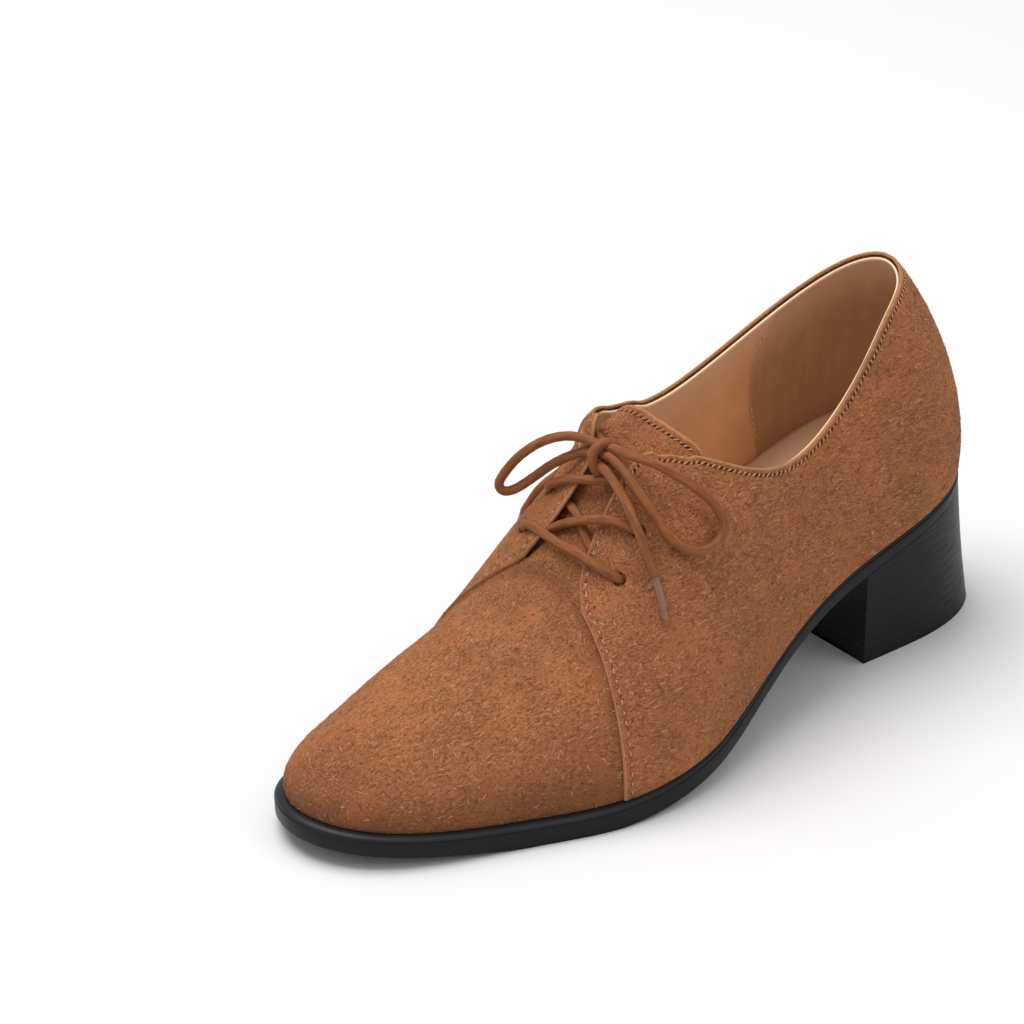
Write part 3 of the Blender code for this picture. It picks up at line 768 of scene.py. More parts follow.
def build_quarter(name, side, material, holes):
    """One side of the upper: skin plus leather offset, its rim rolled over and its foot tucked in."""
    quarter, outer = quarter_skin(side)
    shape = Shape()
    flip = side < 0
    keep = np.ones((outer.shape[0] - 1, outer.shape[1] - 1), bool)
    middle = (outer[:-1, :-1] + outer[1:, 1:]) / 2
    for station, height in holes:
        keep &= np.linalg.norm(middle - skin(station, height, LAP), axis=-1) > 1.55 * HOLE / 2
    shape.grid(outer, flip, keep, rim=quarter.rim)
    shape.grid(tucked_foot(outer[:, 0], quarter.stations), flip, rim=INSIDE)
    top = rolled_edge(outer[:, -1], unit(outer[:, -1] - outer[:, -2]), quarter.normals[:, -1], COLLAR_ROLL)
    shape.grid(top, flip, rim=0.0)
    front = rolled_edge(outer[-1], unit(outer[-1] - outer[-2]), quarter.normals[-1], FRONT_ROLL)
    shape.grid(front.transpose(1, 0, 2), flip, rim=0.0)
    round_corner = np.linspace(0, 1, 4)[:, None, None]
    shape.grid(top[-1] * (1 - round_corner) + front[-1] * round_corner, flip, rim=0.0)
    for station, height in holes:
        hole_patch(quarter, station, height, shape)
    shape.grid(outer - quarter.normals * 1.45, not flip, keep, rim=INSIDE)
    shape.build(name, material)


@cache
def vamp_skin():
    """Stations, outer surface and height shares of the front of the upper, over both sides of the toe."""
    under = 0.12
    stations = np.concatenate([np.linspace(SEAM - under, SEAM, 4)[:-1],
                               even_stations(SEAM, ROUND - SEAM, 0.8),
                               np.linspace(ROUND - SEAM, ROUND - SEAM + under, 4)[1:]])
    height = dense_ends(84, 0.5, 0.2)[None] * np.ones((len(stations), 1))
    base = last_skin(stations[:, None], height)
    return stations, skin(stations[:, None], height, creases(base)), height


def build_vamp(material):
    """The front of the upper: both sides meet on the crest. Painted shade darkens it ahead of the quarters
    and low down.
    """
    stations, outer, height = vamp_skin()
    shape = Shape()
    seam_side = np.minimum(nearest(outer, outer[3]), nearest(outer, outer[-4]))
    # Painted shade: darker in the dip ahead of the quarters' front edges and low down at the toe.
    shade = np.maximum(0.55 * smooth(5.0, 0.6, seam_side), 0.55 * smooth(0.42, 0.06, height))
    shape.grid(outer, rim=INSIDE, shade=shade)
    shape.grid(tucked_foot(outer[:, 0], stations), rim=INSIDE)
    shape.build("vamp_leather", material)


def across_skin(stations, across, samples=401):
    """Places on the skin at level distances from the middle, negative on the inner side: one rib per row."""
    height = np.linspace(0.2, 1, samples)
    found_s, found_h = np.zeros(across.shape), np.zeros(across.shape)
    for side in (1, -1):
        rows = stations if side > 0 else ROUND - stations
        points = last_skin(rows[:, None], height[None])
        for i in range(len(stations)):
            y = points[i, :, 1] * side
            hump = np.argmax(y)
            h = np.interp(np.maximum(across[i] * side, y[-1]), y[:hump:-1], height[:hump:-1])
            mine = across[i] * side >= 0 if side > 0 else across[i] < 0
            found_s[i, mine], found_h[i, mine] = rows[i], h[mine]
    return found_s, found_h


def tongue_surface(rows=90, columns=71, sink=1.8, corner=4.0):
    """Tongue: rows from its bowed free end to the seam, columns level across, sunk under the flaps.

    It lies sink below the skin, rises to it in the open throat, stands higher at the free end's inner side,
    follows the creases, and has a low sine ripple across.
    """
    v = np.linspace(-1, 1, columns)[None]
    u = np.linspace(0, 1, rows)[:, None]
    half_end = np.where(v > 0, 20.3, 12.8)
    end_across = v * half_end
    near_corner = np.clip((np.abs(end_across) - half_end + corner) / corner, 0, 1)
    free_end = (5.25 - 0.37 * (np.maximum(end_across, 0) / 19) ** 2
                + corner / 25 * (1 - np.sqrt(1 - 0.98 * near_corner ** 2)))
    station = free_end + (SEAM + 0.1 - free_end) * u
    half = np.where(v > 0, 20.3 + 5.0 * smooth(5.5, 7.0, station),
                    12.8 + 5.2 * smooth(5.2, 6.0, station) + 6.5 * smooth(6.0, 7.0, station))
    across = v * half + 0.5 * smooth(6, 7, station)
    grid_s, grid_h = np.zeros(station.shape), np.zeros(station.shape)
    for j in range(columns):
        s, h = across_skin(station[:, j], across[:, j:j + 1])
        grid_s[:, j], grid_h[:, j] = s[:, 0], h[:, 0]
    gap = np.where(across > 0, facing(station, 1), facing(station, -1))
    rise = smooth(6.2, SEAM - 0.15, station) * smooth(1.5, -1.5, np.abs(across) - gap)
    base = last_skin(grid_s, grid_h)
    faces = normal(grid_s, grid_h)
    raised = 4.2 * smooth(6, -8, across) * smooth(6.3, 5.5, station)
    ripple = 0.12 * np.sin(across * 0.55 + 0.9 * station) * smooth(7, 6, station)
    at_seam = 0.25 * smooth(SEAM, SEAM + 0.1, station)
    offset = -sink * (1 - rise) + raised + creases(base) * rise + ripple - at_seam
    rim = np.minimum(u * 38.0, (1 - np.abs(v)) * 18)
    return base + faces * offset[..., None], faces, rim


def build_tongue(material):
    """Tongue with a turned free end and sides, its two faces as far apart as it is thick."""
    surface, faces, rim = tongue_surface()
    shape = Shape()
    shape.grid(surface, flip=True, rim=rim)
    end = rolled_edge(surface[0], unit(surface[0] - surface[1]), faces[0], TONGUE_THICK)
    shape.grid(end.transpose(1, 0, 2), rim=0.0)
    for column, near in ((0, 1), (-1, -2)):
        side = unit(surface[:, column] - surface[:, near])
        edge = rolled_edge(surface[:, column], side, faces[:, column], TONGUE_THICK)
        shape.grid(edge, flip=column == 0, rim=0.0)
    shape.grid(surface - faces * TONGUE_THICK, rim=INSIDE)
    shape.build("tongue_leather", material)


def build_lining(material):
    """Lining of both sides and of the front: skin at the wall's inner side, its top edge folded outwards.

    The rim mark is the distance from the fold, larger at the flap, where no pale edge shows. A bell-shaped
    groove follows the upright seam, and the heel mark is 1 behind it.
    """
    shape = Shape()
    for side in (1, -1):
        near = even_stations(0, SEAM, 1.3)
        stations = near if side > 0 else ROUND - near
        tops = rib_top(stations, side) * (0.992 - 0.035 * smooth(5.25, 5.5, near))
        height = dense_ends(70, 0.3, 0.85)[None] * tops[:, None]
        base, faces = last_skin(stations[:, None], height), normal(stations[:, None], height)
        lift = curl(stations[:, None], height, tops[:, None])
        place = near[:, None] - lining_seam(height)
        groove = 0.35 * bump(0, 0.028, place) * smooth(tops[:, None], tops[:, None] - 0.06, height)
        inner = base + faces * (lift - WALL + groove)[..., None]
        edge = inner[:, -1]
        no_fold = 3 * smooth(5.2, 5.4, near)[:, None]
        shape.grid(inner, flip=side > 0, rim=nearest(inner, edge) + no_fold, heel=smooth(0.02, -0.02, place))
        up = unit(inner[:, -1] - inner[:, -2])
        roll = rolled_edge(edge, up, -faces[:, -1], LINING_ROLL)
        shape.grid(roll, flip=side > 0, rim=no_fold)
        shape.grid(np.stack([roll[:, -1], roll[:, -1] - up * 4], 1), flip=side > 0, rim=0.5)
    stations = even_stations(SEAM, ROUND - SEAM, 2.0)
    height = np.linspace(0, 1, 40)[None] * np.ones((len(stations), 1))
    shape.grid(skin(stations[:, None], height, -WALL), flip=True, rim=INSIDE)
    shape.build("inner_lining", material)


def build_sock(material, share=0.07, columns=31, dish=0.7, thick=1.0):
    """The padded sock: straight rows from lining to lining at one height share, hollowed in the middle."""
    stations = np.concatenate([np.linspace(0.02, 0.5, 8)[:-1], even_stations(0.5, TOE - 0.02, 2.0)])
    outer = skin(stations, share, -WALL - 0.05)[:, None]
    inner = skin(ROUND - stations, share, -WALL - 0.05)[:, None]
    across = np.linspace(0, 1, columns)
    points = outer + (inner - outer) * across[None, :, None]
    points[..., 2] -= dish * np.sin(np.pi * across) ** 0.6
    shape = Shape()
    # Painted shade: the rim mark is least at the sides, where the lining finish darkens the sock along the
    # walls.
    shape.grid(points, rim=np.minimum(across, 1 - across)[None] * 60 + 0.8)
    under = points - [0, 0, thick]
    shape.grid(np.stack([under[:, 0], points[:, 0]], 1), rim=1.0)
    shape.grid(np.stack([points[:, -1], under[:, -1]], 1), rim=1.0)
    shape.build("insole_sock", material)


def band(name, material, low, high, grow, roll, wide=1.0, most=0.45):
    """A layer of the sole: its rounded side carried round the feather line, a top rim and a ruled bottom.

    low and high give its heights by station, and grow widens it. The upper rounding is a quarter circle of
    height roll, at most the share most of the layer, and wide times as deep. The lower one is 0.6 of it.
    """
    inner = 5.0
    stations = np.concatenate([even_stations(0, TOE, 1.2), even_stations(TOE, ROUND, 1.2)[1:]])
    bottom, top = low(stations)[:, None], high(stations)[:, None]
    reach = MARGIN(stations) + grow
    turn = np.linspace(0, np.pi / 2, 5)[None]
    soft = np.minimum(roll, (top - bottom) * most)
    under = np.minimum(soft, top - bottom - soft) * 0.6
    steps = [reach - inner, reach - soft * wide * (1 - np.sin(turn)), reach - under * (1 - np.cos(turn))]
    heights = [top, top - soft * (1 - np.cos(turn)), bottom + under * (1 - np.sin(turn))]
    points = FEATHER(stations)[:, None] + level_out(stations)[:, None] * np.concatenate(steps, 1)[..., None]
    points[..., 2] = np.concatenate(heights, 1)
    shape = Shape()
    shape.grid(points, rim=0.0, flip=True)
    half = np.linspace(0, TOE, 120)
    outer, medial = (sole_outline(part, grow - roll * 0.3) for part in (half, ROUND - half))
    outer[:, 2], medial[:, 2] = low(half), low(ROUND - half)
    across = np.linspace(0, 1, 9)[None, :, None]
    shape.grid(outer[:, None] * (1 - across) + medial[:, None] * across, flip=True, rim=0.0)
    shape.build(name, material, sharp=30)


def sole_outline(stations, grow=0.0):
    """Feather line moved outwards by the sole's margin, in millimetres."""
    return FEATHER(stations) + level_out(stations) * (MARGIN(stations) + grow)


def heel_line(stations):
    """The sole's outline at the height where the heel begins, just under the outsole."""
    line = sole_outline(stations)
    line[:, 2] = FEATHER(stations)[:, 2] - EDGE(stations)[:, 0] - HEEL_GAP
    return line


def build_heel(material):
    """Heel block: straight walls from the outline under the outsole down to a flared base, and a breast.

    Half a sine over the height hollows the back, and one over the width hollows the breast.
    """
    line = heel_line(np.concatenate([np.linspace(3.2, 0, 60)[:-1], np.linspace(ROUND, ROUND - 3.2, 60)]))
    line = line[line[:, 0] <= HEEL_FRONT]
    fine = np.linspace(2.2, 3.6, 200)
    ends = [heel_line(side) for side in (fine, ROUND - fine)]
    ends = [end[np.argmin(np.abs(end[:, 0] - HEEL_FRONT))][None] for end in ends]
    top = np.concatenate([ends[0], line, ends[1]])
    base = top * [1, HEEL_NARROW, 0]
    base[:, 0] -= HEEL_FLARE * (HEEL_FRONT - top[:, 0]) / HEEL_FRONT
    share = np.concatenate([[0.0, 0.008], np.linspace(0.02, 1, 40)])[None, :, None]
    wall = base[:, None] * (1 - share) + top[:, None] * share
    wall[..., 0] += 0.56 * np.sin(np.pi * share[..., 0]) * smooth(HEEL_FRONT, 0, top[:, 0])[:, None]
    shape = Shape()
    shape.grid(wall, flip=True, rim=0.0)
    across = np.linspace(0, 1, 25)
    hollow = BREAST_HOLLOW * np.sin(np.pi * across)
    front = wall[-1] * (1 - across[:, None, None]) + wall[0] * across[:, None, None]
    front[..., 0] -= hollow[:, None]
    shape.grid(front, flip=True, rim=0.0)
    half = len(top) // 2
    for level, flip in ((wall[:, 0], True), (wall[:, -1], False)):
        first, second = level[:half], level[::-1][:half]
        lid = first[:, None] * (1 - across[None, :, None]) + second[:, None] * across[None, :, None]
        lid[0, :, 0] -= hollow
        shape.grid(lid, flip=flip, rim=0.0)
    piece = shape.build("heel_stack", material, merge=0.02, sharp=40)
    edge = piece.modifiers.new("soft edges", "BEVEL")
    edge.width = 0.5 * MM
    edge.segments = 3
    edge.limit_method = "ANGLE"
    edge.angle_limit = math.radians(40)


def at_lengths(wanted, length, values):
    """Values kept on the points of a line, read at other distances along it."""
    return np.stack([np.interp(wanted, length, values[:, i]) for i in range(3)], 1)


def smooth_route(keys, step, passes=14):
    """Catmull-Rom curve through the keys, cut at even steps, each point then drawn towards its neighbours."""
    keys = np.array(keys, float)
    keys = np.concatenate([[2 * keys[0] - keys[1]], keys, [2 * keys[-1] - keys[-2]]])
    t = np.linspace(0, 1, 24, endpoint=False)[:, None]
    a, b, c, d = (keys[i:len(keys) - 3 + i, None] for i in range(4))
    square = 2 * a - 5 * b + 4 * c - d
    cube = 3 * b - a - 3 * c + d
    curve = 0.5 * (2 * b + (c - a) * t + square * t ** 2 + cube * t ** 3)
    points = np.concatenate([curve.reshape(-1, 3), keys[-2:-1]])
    length = run_length(points)
    even = np.linspace(0, length[-1], max(6, round(length[-1] / step)) + 1)
    route = at_lengths(even, length, points)
    for _ in range(passes):
        route[1:-1] = route[1:-1] / 2 + (route[:-2] + route[2:]) / 4
    return route


def frames(route):
    """Two directions square to the route, turned as little as possible from ring to ring."""
    along = unit(np.gradient(route, axis=0))
    side = np.cross(along[0], [0.0, 0.0, 1.0])
    if np.linalg.norm(side) < 0.1:
        side = np.cross(along[0], [0.0, 1.0, 0.0])
    sides = [side / np.linalg.norm(side)]
    for direction in along[1:]:
        side = sides[-1] - direction * (sides[-1] @ direction)
        sides.append(side / np.linalg.norm(side))
    return np.array(sides), np.cross(along, sides)


def tube(name, keys, material, diameter=LACE, ends=(1.0, 1.0), taper=1.0, step=0.55, around=28):
    """Round cord along a route: rings that narrow evenly to the share taper, with a round cap at both ends.

    ends gives the lengths of the caps in radii. The UV map called along is in turns round the cord, and in
    centimetres along it.
    """
    route = smooth_route(keys, step)
    side, other = frames(route)
    length = run_length(route)
    radius = diameter / 2 * (1 - (1 - taper) * length / length[-1])
    radius *= 1 + 0.015 * np.sin(length * 1.9) + 0.01 * np.sin(length * 4.7)
    for place, share in ((length, ends[0]), (length[-1] - length, ends[1])):
        radius *= np.sqrt(1 - np.clip(1 - place / (diameter / 2 * share), 0, 1) ** 2)
    turn = np.linspace(0, 2 * np.pi, around + 1)
    ring = np.cos(turn)[None, :, None] * side[:, None] + np.sin(turn)[None, :, None] * other[:, None]
    points = route[:, None] + ring * radius[:, None, None]
    mesh = bpy.data.meshes.new(name)
    rows, columns = points.shape[:2]
    mesh.from_pydata((points.reshape(-1, 3) * MM).tolist(), [], grid_faces(rows, columns).tolist())
    layer = mesh.uv_layers.new(name="along")
    uv = np.stack([np.broadcast_to(turn / (2 * np.pi), (rows, columns)),
                   np.broadcast_to(length[:, None] / 10, (rows, columns))], -1).reshape(-1, 2)
    corner = np.empty(len(mesh.loops), np.int32)
    mesh.loops.foreach_get("vertex_index", corner)
    layer.data.foreach_set("uv", uv[corner].ravel().astype(np.float32))
    return finish_mesh(name, mesh, material, merge=0.002), route


def through_hole(name, deep=3.4):
    """Keys that run up out of a lace hole: below the lining, and in the hole."""
    station, height = HOLES[name]
    centre, face = skin(station, height, LAP), normal(station, height)
    return centre - face * deep, centre - face * 1.1


# Routes of the lace: places that its centre line passes, in millimetres. Loops and ends start in the knot.
BAR_LOW = ((145.6, -16.2, 67.2), (145.6, -12.7, 68.2), (146.4, -6.5, 68.4), (146.7, 2.4, 68.4),
           (146.0, 10.1, 68.1), (145.0, 17.3, 66.9))
BAR_MID = ((144.6, -9.6, 66.6), (143.4, -6.7, 68.8), (141.4, -2.2, 71.9), (139.7, 6.2, 76.0),
           (137.2, 13.1, 77.9), (135.2, 18.1, 77.6))
BAR_CROSS = ((136.1, -7.7, 74.4), (136.8, -5.5, 74.5), (137.7, -1.8, 73.9), (138.9, 1.8, 72.5),
             (140.3, 5.1, 70.6), (141.3, 8.7, 68.6), (141.6, 10.6, 67.4))
BAR_HIGH = ((136.9, -15.6, 77.4), (135.4, -9.7, 81.2), (134.2, -2.5, 83.7), (132.5, 2.2, 84.9),
            (130.6, 6.1, 85.6))
LOOP_OUTER = ((127.4, 0.6, 93.2), (128.2, 3.0, 94.4), (128.6, 5.6, 95.2), (128.3, 12.3, 95.8),
              (126, 17.2, 95.2), (123.4, 21.5, 93.6), (120.9, 24.9, 91.2), (117.5, 28.1, 88.1),
              (114.4, 30.7, 84), (112.3, 32.4, 80.2), (111.4, 33.8, 76.3), (112.9, 35, 73),
              (116.9, 35.6, 71), (121, 35.2, 70.7), (124.5, 33.8, 71.8), (127.1, 31.6, 73.9),
              (128.8, 28.7, 76.9), (129.7, 25.6, 80.4), (130.3, 22, 84), (130.7, 17.4, 88),
              (130.7, 12.5, 91.4), (130.3, 6.2, 93.2), (129.8, 3.0, 92.4), (129.2, 0.8, 91.4))
LOOP_INNER = ((127.8, -1.6, 92.8), (128.2, -3.8, 93.2), (128.6, -6.6, 93.2), (131.4, -9.8, 94.2),
              (134.4, -14.2, 93.2), (137.6, -19.6, 89.8), (141, -25, 84), (144, -28.4, 77.8),
              (145.3, -29.2, 74.4), (144.2, -27.6, 72.6), (141.4, -25, 74), (138.2, -21.2, 78),
              (135, -16.8, 82.8), (132, -12.2, 86.6), (129.6, -7.4, 89.4), (129.2, -4.4, 89.8),
              (129.0, -2.0, 89.8))
END_OUTER = ((130.4, -0.4, 89.2), (132, 1.8, 89.4), (132.4, 5.2, 89.8), (133.4, 10.9, 88),
             (134.7, 17, 85.2), (135.8, 22.3, 81.2), (136.1, 26.2, 76.2), (136.2, 29.2, 71.2),
             (136.3, 32.2, 66.2))
TIP_OUTER = ((136.2, 30.9, 68.2), (136.4, 33, 64.9), (136.8, 35.2, 61.6), (137.6, 37.1, 58.7),
             (138.2, 39, 55.7))
END_INNER = ((125.6, -3.2, 91.6), (124.4, -6.8, 92.2), (123.6, -11.5, 91.4), (123.2, -18.5, 83.4),
             (123.9, -25.2, 73.4), (128.1, -26.9, 70.5), (131.3, -27.9, 68.0), (133.1, -29.8, 63.6),
             (134.6, -31.0, 60.4))
TIP_INNER = ((134.4, -30.8, 61.0), (134.8, -32.2, 57.0), (134.6, -33.6, 52.6), (134.2, -34.6, 48.4))
KNOT_WRAP = ((124.3, 2.4, 91.6), (126.3, 2.5, 94.5), (128.8, 1.8, 96.2), (131.2, 1.3, 95.9),
             (133.1, 1.2, 94.4), (134.0, 1.4, 92.3), (133.9, 1.7, 89.9), (132.3, 1.8, 87.3),
             (129.5, 0.4, 84.9))
KNOT_CORE = ((125.4, 3.2, 92.0), (127.4, 1.8, 92.9), (129.4, 0.2, 92.4), (130.8, -1.8, 91.2),
             (130.2, -4.4, 90.2))
KNOT_BACK = ((124.8, 0.6, 91.0), (126.4, -2.6, 92.2), (128.2, -4.6, 91.6), (129.8, -3.4, 88.2),
             (129.4, -0.4, 86.6))
TIP = 2.5            # diameter of a lace tip


def lace_piece(name, keys, finish, node, slot="lace", **shape):
    """One length of lace as a mesh tube that stands for its CAD node."""
    piece, route = tube(name, keys, finish, **shape)
    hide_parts(node)
    return piece, route


def free_cord(piece, route, far_end, **fitting):
    """Reckons the length of a loop or an end of the bow, a cord that leaves the knot; nothing is done with
    it.
    """
    length = float(np.linalg.norm(np.diff(route, axis=0), axis=1).sum()) * MM
    tuple(route[0] * MM)
    (route * MM).tolist()


def build_lace(cord, film):
    """Bars through the holes, the knot, and the bow's loops and ends as free cords with their tips."""
    low_in, low_out = through_hole("low_med"), through_hole("low_lat")
    high_in, high_out = through_hole("high_med"), through_hole("high_lat")
    for name, keys, node in (
            ("bar_low", (*low_in, *BAR_LOW, *low_out[::-1]), "lace_bar_low"),
            ("bar_high", (*high_in, *BAR_HIGH), "lace_bar_high"),
            ("bar_middle", (*BAR_MID, *high_out[::-1]), "lace_bars_crossed"),
            ("bar_crossing", BAR_CROSS, "lace_bars_crossed"),
            ("knot_wrap", KNOT_WRAP, "lace_knot"),
            ("knot_core", KNOT_CORE, "lace_knot"),
            ("knot_back", KNOT_BACK, "lace_knot")):
        lace_piece(name, keys, cord, node)
    for name, keys, node in (("loop_outer", LOOP_OUTER, "lace_loop_outer"),
                             ("loop_inner", LOOP_INNER, "lace_loop_inner")):
        free_cord(*lace_piece(name, keys, cord, node), "object")
    for name, keys, node, tip_keys, tip_node in (
            ("end_outer", END_OUTER, "lace_end_outer", TIP_OUTER, "lace_tip_outer"),
            ("end_inner", END_INNER, "lace_end_inner", TIP_INNER, "lace_tip_inner")):
        tip, _ = lace_piece(name + "_tip", tip_keys, film, tip_node, "lace_tip",
                            diameter=TIP, ends=(0.3, 0.6), taper=0.74)
        piece, route = lace_piece(name, keys, cord, node, ends=(1.0, 0.35))
        free_cord(piece, route, "fitting", with_pieces=[tip])


def capsule(rings=5, around=6):
    """Unit capsule along its first axis, from -1 to 1. Its radius squared falls with the fourth power."""
    place = -np.cos(np.linspace(0, np.pi, rings))
    radius = np.sqrt(np.maximum(1 - place ** 4, 0))
    turn = np.linspace(0, 2 * np.pi, around, endpoint=False)
    points = np.stack([np.repeat(place, around), (radius[:, None] * np.cos(turn)).ravel(),
                       (radius[:, None] * np.sin(turn)).ravel()], 1)
    index = np.arange(rings * around).reshape(rings, around)
    following = np.roll(index, -1, 1)
    quads = np.stack([index[:-1], index[1:], following[1:], following[:-1]], -1).reshape(-1, 4)
    return points, quads


def scatter(name, centres, axes, sizes, material, template=None):
    """Copies of one small shape as one mesh: each point goes to centre plus its three axes times size."""
    points, quads = template or capsule()
    placed = centres[:, None] + np.einsum("pk,nkj->npj", points, axes * sizes[:, :, None])
    index = (quads[None] + (np.arange(len(centres)) * len(points))[:, None, None]).reshape(-1, 4)
    mesh = bpy.data.meshes.new(name)
    mesh.from_pydata((placed.reshape(-1, 3) * MM).tolist(), [], index.tolist())
    return finish_mesh(name, mesh, material, merge=0)


def stitch_line(points, faces, pitch, length, width, lift, slant=0.0, shift=0.0, thick=1.0):
    """Even places along a line: centres, axes along, across and out, and half sizes of each stitch.

    The slant and the length vary by a sine of the stitch's number, because hand work is uneven.
    """
    distance = run_length(points)
    count = max(2, round(distance[-1] / pitch))
    at = (np.arange(count) + 0.5 + shift) * distance[-1] / count
    centre = at_lengths(at, distance, points)
    out = unit(at_lengths(at, distance, faces))
    spread = distance + 1e-9 * np.arange(len(distance))
    run = unit(at_lengths(at, distance, np.gradient(points, spread, axis=0)))
    across = unit(np.cross(out, run))
    uneven = np.sin(2.4 * np.arange(count))[:, None]
    run = unit(run + across * slant * (1 + 0.45 * uneven))
    across = unit(np.cross(out, run))
    sizes = np.tile([length / 2, width / 2, width * thick / 2], (count, 1))
    sizes[:, :1] *= 1 + 0.3 * np.roll(uneven, 1, 0)
    return centre + out * lift, np.stack([run, across, out], 1), sizes


def along_rim(quarter, outer, distance, front_part):
    """The line on a quarter at one distance from its free edge: down from the top, or back from the front."""
    lines, other_edge = zip(quarter.rim, outer, quarter.normals), outer[-1]
    if front_part:
        columns = range(3, int(0.99 * outer.shape[1]))
        lines = ((quarter.rim[-30:, j], outer[-30:, j], quarter.normals[-30:, j]) for j in columns)
        other_edge = outer[:, -1]
    found = []
    for rim, points, faces in lines:
        rim, points, faces = rim[::-1], points[::-1], faces[::-1]
        if rim.max() < distance or rim[0] > 0.4:
            continue
        k = np.argmax(rim >= distance)
        t = (distance - rim[k - 1]) / max(rim[k] - rim[k - 1], 1e-6)
        found.append((points[k - 1] * (1 - t) + points[k] * t, faces[k]))
    points, faces = (np.array(part) for part in zip(*found))
    keep = nearest(points, other_edge) > distance * 0.98
    return points[keep], faces[keep]


def slit_row(points, faces, pitch, slit, bit, lift):
    """A row of slanted slits, and the row of bits of thread between them. Sizes are length and width."""
    return (stitch_line(points, faces, pitch, *slit, 0.0, slant=1.3, thick=0.4),
            stitch_line(points, faces, pitch, *bit, lift, slant=1.3, shift=0.5))


def build_stitches(quarters, tongue, lining, thread_finish, pale_finish, hole_finish):
    """Slanted slits and bits of thread along collar and tongue, and sparse stitches at flaps and seams."""
    stitch, pin, bright = [], [], []
    for quarter, outer in quarters:
        points, faces = along_rim(quarter, outer, COLLAR_ROW, False)
        ahead = points[:, 0] > SLITS_END[quarter.side]
        slits, bits = slit_row(points[~ahead], faces[~ahead], 1.75, (1.7, 0.66), (1.3, 0.42), 0.06)
        pin.append(slits)
        stitch.append(bits)
        stitch.append(stitch_line(points[ahead], faces[ahead], 3.4, 1.2, 0.42, 0.08, shift=0.3))
        if quarter.side > 0:
            pin.append(stitch_line(points[ahead], faces[ahead], 5.2, 0.6, 0.5, 0.0, thick=0.5))
            points, faces = along_rim(quarter, outer, FRONT_ROW, True)
            stitch.append(stitch_line(points, faces, 3.1, 1.4, 0.42, 0.08))
            pin.append(stitch_line(points, faces, 9.3, 0.7, 0.5, 0.0))
    surface, faces = tongue
    row = np.argmin(np.abs(run_length(surface[:, surface.shape[1] // 2]) - TONGUE_ROW))
    slits, bits = slit_row(surface[row, 6:-6], faces[row, 6:-6], 1.7, (1.6, 0.6), (1.2, 0.4), 0.08)
    pin.append(slits)
    stitch.append(bits)
    points, faces = lining
    for part in (slice(2, 22), slice(-7, None)):
        bright.append(stitch_line(points[part], faces[part], 2.4, 1.5, 0.45, 0.12))
    # The slits and needle holes are dark capsules laid on the leather: painted shade for their hollows.
    for name, rows, finish in (("stitch_rows", stitch, thread_finish), ("needle_holes", pin, hole_finish),
                               ("lining_stitches", bright, pale_finish)):
        scatter(name, *(np.concatenate(part) for part in zip(*rows)), finish)


def lining_seam(height):
    """Station from the heel at which the lining's upright seam crosses each height share."""
    return np.interp(height, *LINING_SEAM)


def lining_seam_line(samples=60):
    """The seam on the inner side as points and the directions off the leather."""
    height = np.linspace(0.11, 0.47, samples)
    station = ROUND - lining_seam(height)
    return skin(station, height, -WALL), -normal(station, height)


def build_nap(count, seed, material, surfaces):
    """Loose fibres: slivers on faces drawn by their area, each lying near its face and turned at random."""
    rng = np.random.default_rng(seed)
    inside = [130, 0, 20]
    found = []
    for points, share in surfaces:
        side, up = points[1:, :-1] - points[:-1, :-1], points[:-1, 1:] - points[:-1, :-1]
        across = np.cross(side, up)
        area = np.linalg.norm(across, axis=-1)
        pick = rng.choice(area.size, round(count * share), p=(area / area.sum()).ravel())
        i, j = np.unravel_index(pick, area.shape)
        a, b = rng.random((2, len(pick), 1))
        centre = points[i, j] + side[i, j] * a + up[i, j] * b
        out = unit(across[i, j])
        out *= np.sign((out * (centre - inside)).sum(-1, keepdims=True))
        turn = rng.uniform(0, np.pi, (len(pick), 1))
        level = unit(side[i, j])
        flat = np.cos(turn) * level + np.sin(turn) * np.cross(out, level)
        found.append((centre, out, unit(flat + out * rng.normal(0, 0.10, turn.shape))))
    centre, out, run = (np.concatenate(part) for part in zip(*found))
    across = unit(np.cross(out, run))
    out = np.cross(run, across)
    half = rng.gamma(2.6, 0.46, (len(centre), 1)).clip(0.45, 2.9)
    width = rng.uniform(0.075, 0.13, (len(centre), 1))
    scatter("loose_fibres", centre + out * 0.06, np.stack([run, across, out], 1),
            np.concatenate([half, width, width * 0.7], 1), material, capsule(3, 4))


def pale_floor():
    """Pale matt floor with the faintest unevenness."""
    f = Finish("pale_floor", Roughness=0.38, Specular_IOR_Level=0.3)
    cloud = f.noise(f.place(), 3.0, 2.0)
    return f.finish(Base_Color=f.mix((0.855, 0.855, 0.865), (0.885, 0.885, 0.895), cloud))


# The photograph's camera: angles in degrees, distance and target in millimetres.
CAMERA = {"turn": 142.25, "rise": 29.95, "roll": -2.0, "focal_px": 5281.56, "distance": 1599.5,
          "target": (123.72, -50.64, 48.0)}
FRAME_PX = 1024      # width of the photograph
SENSOR = 36.0


def camera_axes():
    """Right, up and back directions of the photograph's camera."""
    turn, rise, roll = (math.radians(CAMERA[key]) for key in ("turn", "rise", "roll"))
    back = Vector((math.sin(turn) * math.cos(rise), -math.cos(turn) * math.cos(rise), math.sin(rise)))
    right = (-back).cross(Vector((0, 0, 1))).normalized()
    up = right.cross(-back)
    return (math.cos(roll) * right + math.sin(roll) * up, -math.sin(roll) * right + math.cos(roll) * up, back)


